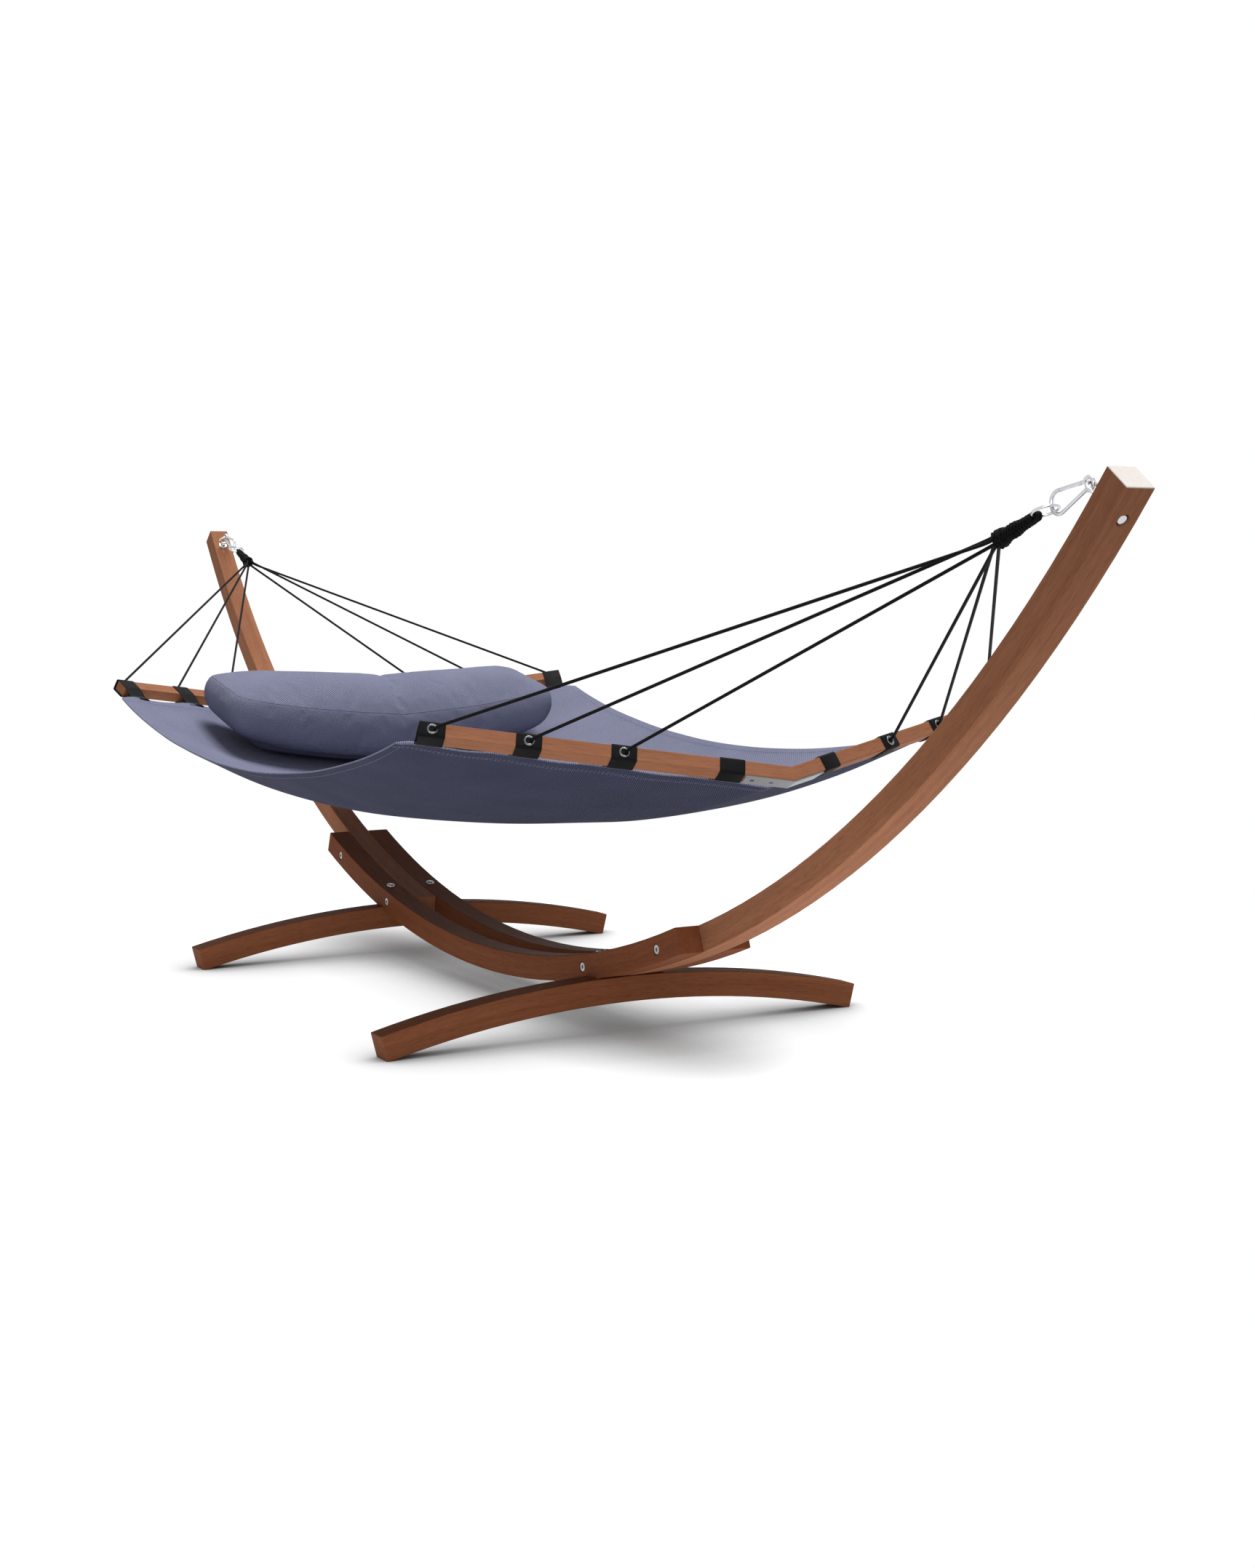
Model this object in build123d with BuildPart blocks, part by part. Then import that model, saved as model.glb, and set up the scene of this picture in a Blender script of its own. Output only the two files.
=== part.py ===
"""Hammock with a spreader-bar bed and a long pillow, hung in a bowed laminated wood stand.

Frame: +X runs from the head end, where the pillow lies, to the foot end, +Y is the left of someone
lying in the bed and +Z is up. The origin is on the floor, midway between the cross beams.
All sizes are in millimetres and all angles in degrees. The bowed beams share one centre, straight
above the origin, and their angles are measured from straight down.
"""
import os
from math import asin, ceil, cos, degrees, hypot, pi, radians, sin, sqrt

from build123d import *

os.makedirs("parts", exist_ok=True)

# Bowed stand
bow_radius = 2730.0
bow_low = 116.0
beam_depth = 58.0
rail_width = 58.0
arm_width = 58.0
rail_end_angle = 20.6
arm_root_angle = 10.3
arm_tip_angle = 52.2
edge_round = 2.5

# Cross beams
cross_x = 605.0
cross_width = 58.0
cross_reach = 588.0
cross_let_in = 4.6
floor_flat_depth = 2.0
seat_gap = 0.2

# Bolts through rails and arms
rail_bolt_angles = (11.65, 18.7)
bolt_diameter = 10.0
bolt_play = 0.25
thread_play = 0.05
rail_bolt_head_diameter = 20.0
rail_bolt_head_height = 6.0
rail_bolt_recess_diameter = 25.0
rail_bolt_recess_depth = 9.0
rail_bolt_sink = 1.5
hex_socket = 8.0
hex_socket_depth = 3.6
washer_diameter = 21.0
washer_thickness = 1.5
nut_across_flats = 16.0

# Bolts through rails into cross beams
dome_diameter = 22.0
dome_height = 5.0
dome_lift = 0.1
dome_round = 4.5
cross_nut_recess_diameter = 26.0
cross_nut_recess_depth = 15.0
cross_nut_height = 8.0

# Eye bolts at the arm tips
eye_angle = 50.9
eye_stand_off = 25.0
eye_wire = 6.5
eye_bore = 23.0
ferrule_flange_diameter = 25.0
ferrule_flange_thickness = 2.0
ferrule_sleeve_diameter = 17.0
ferrule_bore = 14.0
ferrule_depth = 10.0
ferrule_end_gap = 1.0
eye_nut_recess_diameter = 24.0
eye_nut_recess_depth = 11.0
eye_nut_diameter = 17.0
eye_nut_height = 7.0
eye_nut_round = 0.8

# Snap hooks and rings; the hanging line runs from the eye down towards the bed
line_slope = 21.0
link_gap = 0.4
hook_wire = 7.0
hook_eye_radius = 10.5
hook_neck_angle = 40.0
hook_reach = 93.0
hook_bow_radius = 19.0
hook_nose = 6.0
gate_pin_from_neck = 8.5
gate_pin_diameter = 2.4
gate_pin_play = 0.05
gate_gap = 0.5
gate_tongue = 2.4
gate_slot_play = 0.3
gate_spring_diameter = 2.6
gate_spring_length = 12.0
ring_wire = 5.0
ring_outer = 50.0

# Rope clews
rope_diameter = 6.0
rope_play = 0.3
clew_strand_step = 6.6
clew_head_length = 9.0
clew_waist_radius = 4.5
clew_fan_radius = 10.0
clew_winding_length = 76.0
clew_collar_radius = 16.0
clew_collar_length = 10.0
whipping_diameter = 5.5
whipping_pitch = 6.4

# Spreader bars; a bar half runs out from the kink, back towards the bed's middle and up
kink_x = 1264.0
kink_z = 628.0
bar_sweep = 20.0
bar_rise = 7.55
bar_tilt = 29.0
bar_height = 28.0
bar_depth = 40.0
bar_half_length = 723.0
bar_round = 1.5
rope_stations = (335.0, 519.0, 703.0)
plain_strap_station = 122.0
rope_hole = 8.0
bracket_length = 94.0
bracket_width = 32.0
bracket_thickness = 3.0
bracket_screw_stations = (40.0, 78.0)
bracket_screw_diameter = 4.5
bracket_screw_head = 9.0
bracket_screw_length = 20.0

# Straps, eyelets and stop knots
strap_width = 50.0
strap_thickness = 2.5
strap_play = 0.2
strap_reach = 54.0
strap_join = 36.0
strap_slope = 18.0
eyelet_bore = 12.4
eyelet_wall = 0.6
eyelet_flange_diameter = 21.5
eyelet_flange_thickness = 1.4
eyelet_length = 8.0
rope_bend_height = 6.5
rope_bend_radius = 8.0
rope_lead = 12.0
rope_lead_radius = 18.0
rope_starts = ((-3.6, -4.6), (-6.4, 6.4), (-12.2, 0.0))
stop_knot_diameter = 15.0
stop_knot_lift = 6.0

# Sling
cloth_thickness = 3.0
cloth_half_width = 687.0
cloth_gap = 0.3
sling_low = 441.0
sling_edge_low = 571.0
sling_trough = 3.2
sling_rise = 2.45
sling_edge_rise = 2.1
sling_belly = 8.0
sling_belly_power = 4
sling_belly_middle = 0.6
sling_belly_reach = 0.6
sling_shares = (0.0, 0.3, 0.6, 0.82, 0.93, 1.0)
sling_slope_step = 0.001
sling_stations = (0.0, 150.0, 300.0, 450.0, 570.0, 687.0)

# Pillow
pillow_x = -800.0
pillow_tilt = 11.5
pillow_seam_width = 285.0
pillow_draw_in = 12.0
pillow_base_width = 215.0
pillow_wall = 178.0
pillow_end_wall = 160.0
pillow_wall_bulge = 20.0
pillow_crown = 78.0
pillow_end_crown = 20.0
pillow_half_length = 462.0
pillow_stations = ((0.0, 0.0), (0.33, 0.0), (0.66, 0.0), (0.85, 2.0), (0.95, 9.0), (1.0, 26.0))
pillow_gap = 0.3
pillow_trim = 10.0

# Values that follow from the sizes above
bow_z = bow_low + bow_radius
bow_outer = bow_radius + beam_depth
bow_middle = bow_radius + beam_depth / 2
rail_y = (arm_width + rail_width) / 2
pack_half = arm_width / 2 + rail_width


def finish(piece, name):
    """Label a finished piece and write its STEP file."""
    piece.part.label = name
    export_step(piece.part, f"parts/{name}.step")


def bow_point(radius, angle, y=0.0):
    """A point on the bow at a radius and an angle from straight down."""
    return Vector(radius * sin(radians(angle)), y, bow_z - radius * cos(radians(angle)))


def bow_outward(angle):
    """The direction away from the bow's centre at an angle."""
    return Vector(sin(radians(angle)), 0, -cos(radians(angle)))


def sector(centre_y, inner, outer, first, last):
    """The outline of a ring sector whose centre is on a sketch's y axis."""
    with BuildLine() as outline:
        near = CenterArc((0, centre_y), inner, first, last - first)
        far = CenterArc((0, centre_y), outer, first, last - first)
        Line(near @ 0, far @ 0)
        Line(near @ 1, far @ 1)
    return outline.edges()


def bow_sector(first, last, inner, outer):
    """The outline of a stretch of the bow, for a sketch on the XZ plane."""
    return sector(bow_z, inner, outer, first - 90, last - 90)


# Beams of the stand
rail_bolt_points = [bow_point(bow_middle, end * angle) for end in (-1, 1) for angle in rail_bolt_angles]
cross_angle = degrees(asin(cross_x / bow_outer))
bolt_hole_radius = bolt_diameter / 2 + bolt_play

for rail_name, side in (("base_rail_right", -1), ("base_rail_left", 1)):
    with BuildPart() as rail:
        with BuildSketch(Plane.XZ.offset(-side * rail_y)):
            make_face(bow_sector(-rail_end_angle, rail_end_angle, bow_radius, bow_outer))
        extrude(amount=rail_width / 2, both=True)
        fillet(rail.edges(), edge_round)
        for point in rail_bolt_points:
            outer_face = Plane((point.X, side * pack_half, point.Z), x_dir=(1, 0, 0), z_dir=(0, side, 0))
            with Locations(outer_face):
                CounterBoreHole(bolt_hole_radius, rail_bolt_recess_diameter / 2, rail_bolt_recess_depth)
        for angle in (-cross_angle, cross_angle):
            top = bow_point(bow_radius, angle, side * rail_y)
            with Locations(Plane(top, x_dir=(0, 1, 0), z_dir=-bow_outward(angle))):
                Hole(bolt_hole_radius)
    finish(rail, rail_name)

for arm_name, end in (("arm_foot", 1), ("arm_head", -1)):
    first, last = sorted((end * arm_root_angle, end * arm_tip_angle))
    with BuildPart() as arm:
        with BuildSketch(Plane.XZ):
            make_face(bow_sector(first, last, bow_radius, bow_outer))
        extrude(amount=arm_width / 2, both=True)
        fillet(arm.edges(), edge_round)
        for point in rail_bolt_points:
            if point.X * end > 0:
                with Locations(Plane((point.X, -arm_width / 2, point.Z), x_dir=(1, 0, 0), z_dir=(0, -1, 0))):
                    Hole(bolt_hole_radius)
        outward = bow_outward(end * eye_angle)
        with Locations(Plane(bow_point(bow_outer, end * eye_angle), x_dir=(0, 1, 0), z_dir=outward)):
            CounterBoreHole(bolt_hole_radius, eye_nut_recess_diameter / 2, eye_nut_recess_depth)
        with Locations(Plane(bow_point(bow_radius, end * eye_angle), x_dir=(0, 1, 0), z_dir=-outward)):
            Hole(ferrule_sleeve_diameter / 2 + bolt_play, depth=ferrule_depth)
    finish(arm, arm_name)

cross_top = bow_z - sqrt(bow_outer**2 - cross_x**2) + cross_let_in
cross_crown = cross_top - beam_depth
cross_drop = cross_crown + floor_flat_depth
cross_radius = (cross_reach**2 + cross_drop**2) / (2 * cross_drop)
cross_half_angle = degrees(asin(cross_reach / cross_radius))
cross_centre_z = cross_crown - cross_radius
cross_nut_seat = beam_depth - cross_let_in - cross_nut_recess_depth

for cross_name, end in (("cross_beam_foot", 1), ("cross_beam_head", -1)):
    with BuildPart() as cross:
        with BuildSketch(Plane.YZ.offset(end * cross_x)):
            make_face(
                sector(
                    cross_centre_z,
                    cross_radius,
                    cross_radius + beam_depth,
                    90 - cross_half_angle,
                    90 + cross_half_angle,
                )
            )
        extrude(amount=cross_width / 2, both=True)
        fillet(cross.edges(), edge_round)
        split(bisect_by=Plane.XY, keep=Keep.TOP)
        with BuildSketch(Plane.XZ):
            seat_radius = bow_outer + seat_gap
            make_face(bow_sector(-rail_end_angle, rail_end_angle, bow_radius - beam_depth, seat_radius))
        extrude(amount=pack_half + seat_gap, both=True, mode=Mode.SUBTRACT)
        outward = bow_outward(end * cross_angle)
        for side in (-1, 1):
            seat = bow_point(bow_outer, end * cross_angle, side * rail_y)
            with Locations(Plane(seat, x_dir=(0, 1, 0), z_dir=-outward)):
                Hole(bolt_hole_radius)
            with Locations(Plane(seat + outward * cross_nut_seat, x_dir=(0, 1, 0), z_dir=outward)):
                Cylinder(
                    cross_nut_recess_diameter / 2,
                    2 * cross_nut_recess_depth,
                    align=(Align.CENTER, Align.CENTER, Align.MIN),
                    mode=Mode.SUBTRACT,
                )
    finish(cross, cross_name)

# Fasteners of the stand
upright = (Align.CENTER, Align.CENTER, Align.MIN)
hung = (Align.CENTER, Align.CENTER, Align.MAX)
bolt_seat_y = pack_half - rail_bolt_recess_depth
rail_nut_height = rail_bolt_recess_depth - washer_thickness - rail_bolt_sink
rail_bolt_length = 2 * bolt_seat_y + 2 * washer_thickness + rail_nut_height + rail_bolt_sink / 2


def side_plane(point, side, out):
    """A plane square to the rails' side, at a distance out from the middle, facing away."""
    return Plane((point.X, side * out, point.Z), x_dir=(1, 0, 0), z_dir=(0, side, 0))


with BuildPart() as rail_bolts:
    for point in rail_bolt_points:
        under_head = side_plane(point, -1, bolt_seat_y + washer_thickness)
        with Locations(under_head):
            Cylinder(rail_bolt_head_diameter / 2, rail_bolt_head_height, align=upright)
            Cylinder(bolt_diameter / 2, rail_bolt_length, align=hung)
        with BuildSketch(under_head.offset(rail_bolt_head_height)):
            RegularPolygon(hex_socket / 2, 6, major_radius=False)
        extrude(amount=-hex_socket_depth, mode=Mode.SUBTRACT)
finish(rail_bolts, "rail_bolts")

with BuildPart() as rail_bolt_washers:
    for point in rail_bolt_points:
        for side in (-1, 1):
            with BuildSketch(side_plane(point, side, bolt_seat_y)):
                Circle(washer_diameter / 2)
                Circle(bolt_hole_radius, mode=Mode.SUBTRACT)
            extrude(amount=washer_thickness)
finish(rail_bolt_washers, "rail_bolt_washers")

with BuildPart() as rail_bolt_nuts:
    for point in rail_bolt_points:
        with BuildSketch(side_plane(point, 1, bolt_seat_y + washer_thickness)):
            RegularPolygon(nut_across_flats / 2, 6, major_radius=False)
            Circle(bolt_diameter / 2 + thread_play, mode=Mode.SUBTRACT)
        extrude(amount=rail_nut_height)
finish(rail_bolt_nuts, "rail_bolt_nuts")

cross_places = [(end, side) for end in (-1, 1) for side in (-1, 1)]


def cross_plane(end, side, radius):
    """A plane square to a cross beam bolt, at a radius of the bow, facing the bow's centre."""
    angle = end * cross_angle
    return Plane(bow_point(radius, angle, side * rail_y), x_dir=(0, 1, 0), z_dir=-bow_outward(angle))


cross_nut_radius = bow_outer + cross_nut_seat + washer_thickness
cross_bolt_length = cross_nut_radius + cross_nut_height + rail_bolt_sink - bow_radius


def bow_distance(point):
    """The distance of a point from the bow's axis."""
    return hypot(point.X, point.Z - bow_z)


with BuildPart() as cross_bolts:
    for end, side in cross_places:
        with Locations(cross_plane(end, side, bow_radius - dome_lift)):
            Cylinder(dome_diameter / 2, dome_height, align=upright)
            Cylinder(bolt_diameter / 2, cross_bolt_length, align=hung)
    round_edges = cross_bolts.edges().filter_by(GeomType.CIRCLE)
    dome_rims = round_edges.filter_by(lambda e: bow_distance(e.arc_center) < bow_radius - dome_height / 2)
    fillet(dome_rims, min(dome_round, dome_height * 0.95))
finish(cross_bolts, "cross_beam_bolts")

with BuildPart() as cross_washers:
    for end, side in cross_places:
        with BuildSketch(cross_plane(end, side, bow_outer + cross_nut_seat)):
            Circle(washer_diameter / 2)
            Circle(bolt_hole_radius, mode=Mode.SUBTRACT)
        extrude(amount=-washer_thickness)
finish(cross_washers, "cross_beam_bolt_washers")

with BuildPart() as cross_nuts:
    for end, side in cross_places:
        with BuildSketch(cross_plane(end, side, cross_nut_radius)):
            RegularPolygon(nut_across_flats / 2, 6, major_radius=False)
            Circle(bolt_diameter / 2 + thread_play, mode=Mode.SUBTRACT)
        extrude(amount=-cross_nut_height)
finish(cross_nuts, "cross_beam_bolt_nuts")

# Eye bolts
eye_ring_radius = eye_bore / 2 + eye_wire / 2
eye_nut_seat = bow_outer - eye_nut_recess_depth


def eye_plane(end, radius):
    """A plane square to an eye bolt, at a radius of the bow, facing the bow's centre."""
    angle = end * eye_angle
    return Plane(bow_point(radius, angle), x_dir=(0, 1, 0), z_dir=-bow_outward(angle))


for eye_name, end in (("eye_bolt_foot", 1), ("eye_bolt_head", -1)):
    eye_centre = bow_point(bow_radius - eye_stand_off, end * eye_angle)
    across = bow_outward(end * eye_angle).cross(Vector(0, 1, 0))
    shank = eye_nut_seat + washer_thickness + eye_nut_height - bow_radius + eye_stand_off - eye_ring_radius
    with BuildPart() as eye_bolt:
        with Locations(Plane(eye_centre, x_dir=(0, 1, 0), z_dir=across)):
            Torus(eye_ring_radius, eye_wire / 2)
        with Locations(eye_plane(end, bow_radius - eye_stand_off + eye_ring_radius)):
            Cylinder(bolt_diameter / 2, shank, align=hung)
    finish(eye_bolt, eye_name)

with BuildPart() as eye_ferrules:
    for end in (-1, 1):
        face = eye_plane(end, bow_radius)
        with BuildSketch(face.offset(dome_lift)):
            Circle(ferrule_flange_diameter / 2)
            Circle(ferrule_bore / 2, mode=Mode.SUBTRACT)
        extrude(amount=ferrule_flange_thickness)
        with BuildSketch(face.offset(dome_lift)):
            Circle(ferrule_sleeve_diameter / 2)
            Circle(ferrule_bore / 2, mode=Mode.SUBTRACT)
        extrude(amount=-(ferrule_depth - ferrule_end_gap))
finish(eye_ferrules, "eye_bolt_ferrules")

with BuildPart() as eye_washers:
    for end in (-1, 1):
        with BuildSketch(eye_plane(end, eye_nut_seat)):
            Circle(washer_diameter / 2)
            Circle(bolt_hole_radius, mode=Mode.SUBTRACT)
        extrude(amount=-washer_thickness)
finish(eye_washers, "eye_bolt_washers")

with BuildPart() as eye_nuts:
    for end in (-1, 1):
        with BuildSketch(eye_plane(end, eye_nut_seat + washer_thickness)):
            Circle(eye_nut_diameter / 2)
            Circle(bolt_diameter / 2 + thread_play, mode=Mode.SUBTRACT)
        extrude(amount=-eye_nut_height)
    outer_rims = eye_nuts.edges().filter_by(GeomType.CIRCLE)
    fillet(outer_rims.filter_by(lambda e: e.radius > bolt_hole_radius), eye_nut_round)
finish(eye_nuts, "eye_bolt_nuts")

# Hanging line at the foot end: x runs along the line towards the bed, y up from it, z along +Y
line_along = Vector(-cos(radians(line_slope)), 0, -sin(radians(line_slope)))
eye_inward = -bow_outward(eye_angle)
eye_wire_centre = bow_point(bow_radius - eye_stand_off, eye_angle) + eye_inward * eye_ring_radius
hook_slack = hook_eye_radius - hook_wire / 2 - eye_wire / 2 - link_gap
line_origin = eye_wire_centre + line_along * hook_slack
line_plane = Plane(line_origin, x_dir=line_along, z_dir=(0, 1, 0))
swing_z = eye_wire_centre.Z


def on_line(along, up=0.0, left=0.0):
    """A point in the hanging line's frame, in the model's frame."""
    return line_plane.from_local_coords(Vector(along, up, left))


def write_both(piece, name):
    """Write a foot end piece and its mirror image at the head end."""
    finish(piece, f"{name}_foot")
    with BuildPart() as twin:
        mirror(piece.part, about=Plane.YZ)
    finish(twin, f"{name}_head")


# Snap hook: a round small end in the eye, a wide end in the ring, straight sides between
neck_x = hook_eye_radius * cos(radians(hook_neck_angle))
neck_up = hook_eye_radius * sin(radians(hook_neck_angle))
hook_bow_x = hook_reach - hook_bow_radius
neck_to_bow = hypot(hook_bow_x - neck_x, neck_up)
side_length = sqrt(neck_to_bow**2 - hook_bow_radius**2)
side_angle = asin(hook_bow_radius / neck_to_bow) - asin(neck_up / neck_to_bow)


def side_point(distance, side=1):
    """A point on a straight side of the hook, at a distance from the neck."""
    return on_line(neck_x + distance * cos(side_angle), side * (neck_up + distance * sin(side_angle)))


nose_at = side_length - hook_nose
gate_round = hook_wire / 2
stub_at = gate_pin_from_neck - gate_round - gate_gap
gate_length = nose_at - gate_gap - gate_pin_from_neck
tongue_round = gate_round - gate_gap
tongue_root = gate_round + 2 * gate_gap
slot_half = gate_tongue / 2 + gate_slot_play
slot_depth = tongue_round + 2 * gate_gap
gate_origin = side_point(gate_pin_from_neck)
gate_plane = Plane(gate_origin, x_dir=side_point(side_length) - gate_origin, z_dir=(0, 1, 0))
gate_rod = Plane(gate_origin, x_dir=(0, 1, 0), z_dir=gate_plane.x_dir)

with BuildPart() as hook:
    with BuildLine() as wide_end:
        Line(side_point(nose_at), side_point(side_length))
        ThreePointArc(side_point(side_length), on_line(hook_reach), side_point(side_length, -1))
        Line(side_point(side_length, -1), side_point(0, -1))
    with BuildLine() as small_end:
        ThreePointArc(side_point(0, -1), on_line(-hook_eye_radius), side_point(0))
    with BuildLine() as stub:
        Line(side_point(0), side_point(stub_at))
    for run in (wide_end.line, small_end.line, stub.line):
        with BuildSketch(Plane(run @ 0, z_dir=run % 0)):
            Circle(hook_wire / 2)
        sweep(path=run)
    with Locations(side_point(0), side_point(0, -1)):
        Sphere(hook_wire / 2)
    with BuildSketch(gate_plane):
        with Locations((-tongue_root / 2, 0)):
            Rectangle(tongue_root, 2 * tongue_round)
        Circle(tongue_round)
        Circle(gate_pin_diameter / 2 + gate_pin_play / 2, mode=Mode.SUBTRACT)
    extrude(amount=gate_tongue / 2, both=True)
write_both(hook, "snap_hook")

with BuildPart() as gate:
    with BuildSketch(gate_plane):
        with Locations((gate_length / 2, 0)):
            Rectangle(gate_length, hook_wire)
        Circle(gate_round)
    extrude(amount=gate_round, both=True)
    with BuildSketch(gate_rod.offset(-gate_round)):
        Circle(gate_round)
    extrude(amount=gate_round + gate_length, mode=Mode.INTERSECT)
    with BuildSketch(gate_plane):
        with Locations(((slot_depth - 2 * gate_round) / 2, 0)):
            Rectangle(slot_depth + 2 * gate_round, 2 * hook_wire)
    extrude(amount=slot_half, both=True, mode=Mode.SUBTRACT)
    with BuildSketch(gate_plane):
        Circle(gate_pin_diameter / 2 + gate_pin_play)
    extrude(amount=hook_wire, both=True, mode=Mode.SUBTRACT)
    with BuildSketch(gate_rod.offset(slot_depth)):
        Circle(gate_spring_diameter / 2 + gate_slot_play / 2)
    extrude(amount=gate_spring_length, mode=Mode.SUBTRACT)
write_both(gate, "snap_gate")

with BuildPart() as gate_pin:
    with BuildSketch(gate_plane):
        Circle(gate_pin_diameter / 2)
    extrude(amount=gate_round - gate_gap / 2, both=True)
write_both(gate_pin, "gate_pin")

with BuildPart() as gate_spring:
    with BuildSketch(gate_rod.offset(slot_depth)):
        Circle(gate_spring_diameter / 2)
    extrude(amount=gate_spring_length)
write_both(gate_spring, "gate_spring")

ring_radius = (ring_outer - ring_wire) / 2
ring_at = hook_reach - hook_wire / 2 - link_gap - ring_wire / 2 + ring_radius
with BuildPart() as ring:
    with Locations(Plane(on_line(ring_at), x_dir=line_along, z_dir=line_plane.y_dir)):
        Torus(ring_radius, ring_wire / 2)
write_both(ring, "ring")

# Clew: two rope strands looped over the ring, a head, a tapered body and a collar
rope_radius = rope_diameter / 2
loop_at = ring_at + sqrt(ring_radius**2 - (clew_strand_step / 2) ** 2)
loop_radius = ring_wire / 2 + rope_play + rope_radius
head_at = loop_at + loop_radius + rope_radius
head_end = head_at + clew_head_length
fan_at = head_end + clew_winding_length
collar_end = fan_at + clew_collar_length
head_radius = loop_radius + rope_radius + rope_play

with BuildPart() as clew:
    for side in (-1, 1):
        with BuildLine(line_plane.offset(side * clew_strand_step / 2)) as strand:
            Line((head_at + clew_head_length / 2, loop_radius), (loop_at, loop_radius))
            ThreePointArc((loop_at, loop_radius), (loop_at - loop_radius, 0), (loop_at, -loop_radius))
            Line((loop_at, -loop_radius), (head_at + clew_head_length / 2, -loop_radius))
        with BuildSketch(Plane(strand.line @ 0, z_dir=strand.line % 0)):
            Circle(rope_radius)
        sweep(path=strand.line)
    with BuildSketch(line_plane):
        with BuildLine():
            Polyline(
                (head_at, 0),
                (head_at, head_radius),
                (head_end, head_radius),
                (head_end, clew_waist_radius),
                (fan_at, clew_fan_radius),
                (fan_at, clew_collar_radius),
                (collar_end, clew_collar_radius),
                (collar_end, 0),
                close=True,
            )
        make_face()
    revolve(axis=Axis(line_origin, line_along))
write_both(clew, "clew")

# Whipping: one cord wound round the clew's body, its ends square to the head and the collar
whip_radius = whipping_diameter / 2
clew_taper = (clew_fan_radius - clew_waist_radius) / clew_winding_length
whip_bend = whipping_diameter
winding_first = head_end + whipping_diameter + whip_bend
winding_last = fan_at - whipping_diameter - whip_bend
quarter_turns = round(4 * (winding_last - winding_first) / whipping_pitch)
whip_rise = (winding_last - winding_first) / quarter_turns


def whip_taper(along):
    """The slope of the whipping's middle: none in its straight ends."""
    if head_end + whipping_diameter < along < fan_at - whipping_diameter:
        return clew_taper
    return 0.0


def whip_distance(along):
    """The distance of the whipping's middle from the clew's axis."""
    held = max(head_end + whipping_diameter, min(along, fan_at - whipping_diameter))
    lift = clew_taper * whipping_diameter
    return clew_waist_radius + clew_taper * (held - head_end) + lift + rope_play + whip_radius


def whip_node(along, turn, along_rate, round_rate):
    """A point of the whipping and its direction, from its place along and round the clew."""
    out = line_plane.y_dir * cos(turn) + line_plane.z_dir * sin(turn)
    about = line_plane.z_dir * cos(turn) - line_plane.y_dir * sin(turn)
    point = on_line(along) + out * whip_distance(along)
    way = line_along * along_rate + about * round_rate + out * (whip_taper(along) * along_rate)
    return point, way.normalized()


def whip_nodes():
    """The whipping's points: in along the clew, round a bend, through the turns and out again."""
    nodes = [whip_node(head_end, 0, 1, 0), whip_node(head_end + whipping_diameter, 0, 1, 0)]
    half_bend = whip_bend * (1 - cos(radians(45)))
    turn = half_bend / whip_distance(winding_first)
    along = head_end + whipping_diameter + whip_bend * sin(radians(45))
    nodes.append(whip_node(along, turn, 1, 1))
    turn = whip_bend / whip_distance(winding_first)
    for step in range(quarter_turns + 1):
        along = winding_first + step * whip_rise
        nodes.append(whip_node(along, turn + step * pi / 2, whip_rise, whip_distance(along) * pi / 2))
    turn += quarter_turns * pi / 2
    bend_turn = whip_bend / whip_distance(winding_last)
    along = fan_at - whipping_diameter - whip_bend * sin(radians(45))
    nodes.append(whip_node(along, turn + bend_turn - half_bend / whip_distance(along), 1, 1))
    nodes.append(whip_node(fan_at - whipping_diameter, turn + bend_turn, 1, 0))
    nodes.append(whip_node(fan_at, turn + bend_turn, 1, 0))
    return nodes


def biarc(start, start_way, end, end_way):
    """The middle point and direction of the two tangent arcs from start to end."""
    chord = end - start
    both = start_way + end_way
    bend = 2 * (1 - start_way.dot(end_way))
    reach = (sqrt(chord.dot(both) ** 2 + bend * chord.dot(chord)) - chord.dot(both)) / bend
    first = start + start_way * reach
    second = end - end_way * reach
    return (first + second) * 0.5, (second - first).normalized()


with BuildPart() as whipping:
    nodes = whip_nodes()
    with BuildLine() as whip_path:
        Line(nodes[0][0], nodes[1][0])
        for (start, start_way), (end, end_way) in zip(nodes[1:-2], nodes[2:-1]):
            middle, middle_way = biarc(start, start_way, end, end_way)
            TangentArc(start, middle, tangent=start_way)
            TangentArc(middle, end, tangent=middle_way)
        Line(nodes[-2][0], nodes[-1][0])
    with BuildSketch(Plane(whip_path.line @ 0, z_dir=whip_path.line % 0)):
        Circle(whip_radius)
    sweep(path=whip_path.line)
write_both(whipping, "clew_whipping")

whip_samples = 900
whip_wire = whip_path.wire()
whip_points = whip_wire.positions([i / whip_samples for i in range(whip_samples + 1)])
whip_skip = ceil(2 * whipping_diameter * whip_samples / whip_wire.length)
least_gap = min(
    (whip_points[i] - whip_points[k]).length
    for i in range(len(whip_points))
    for k in range(i + whip_skip, len(whip_points))
) - whipping_diameter
print("whipping turns", quarter_turns / 4, "least gap to itself", round(least_gap, 2))
whip_volume = pi * whip_radius**2 * whip_wire.length
print("whipping volume over section times length", round(whipping.part.volume / whip_volume, 4))

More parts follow.
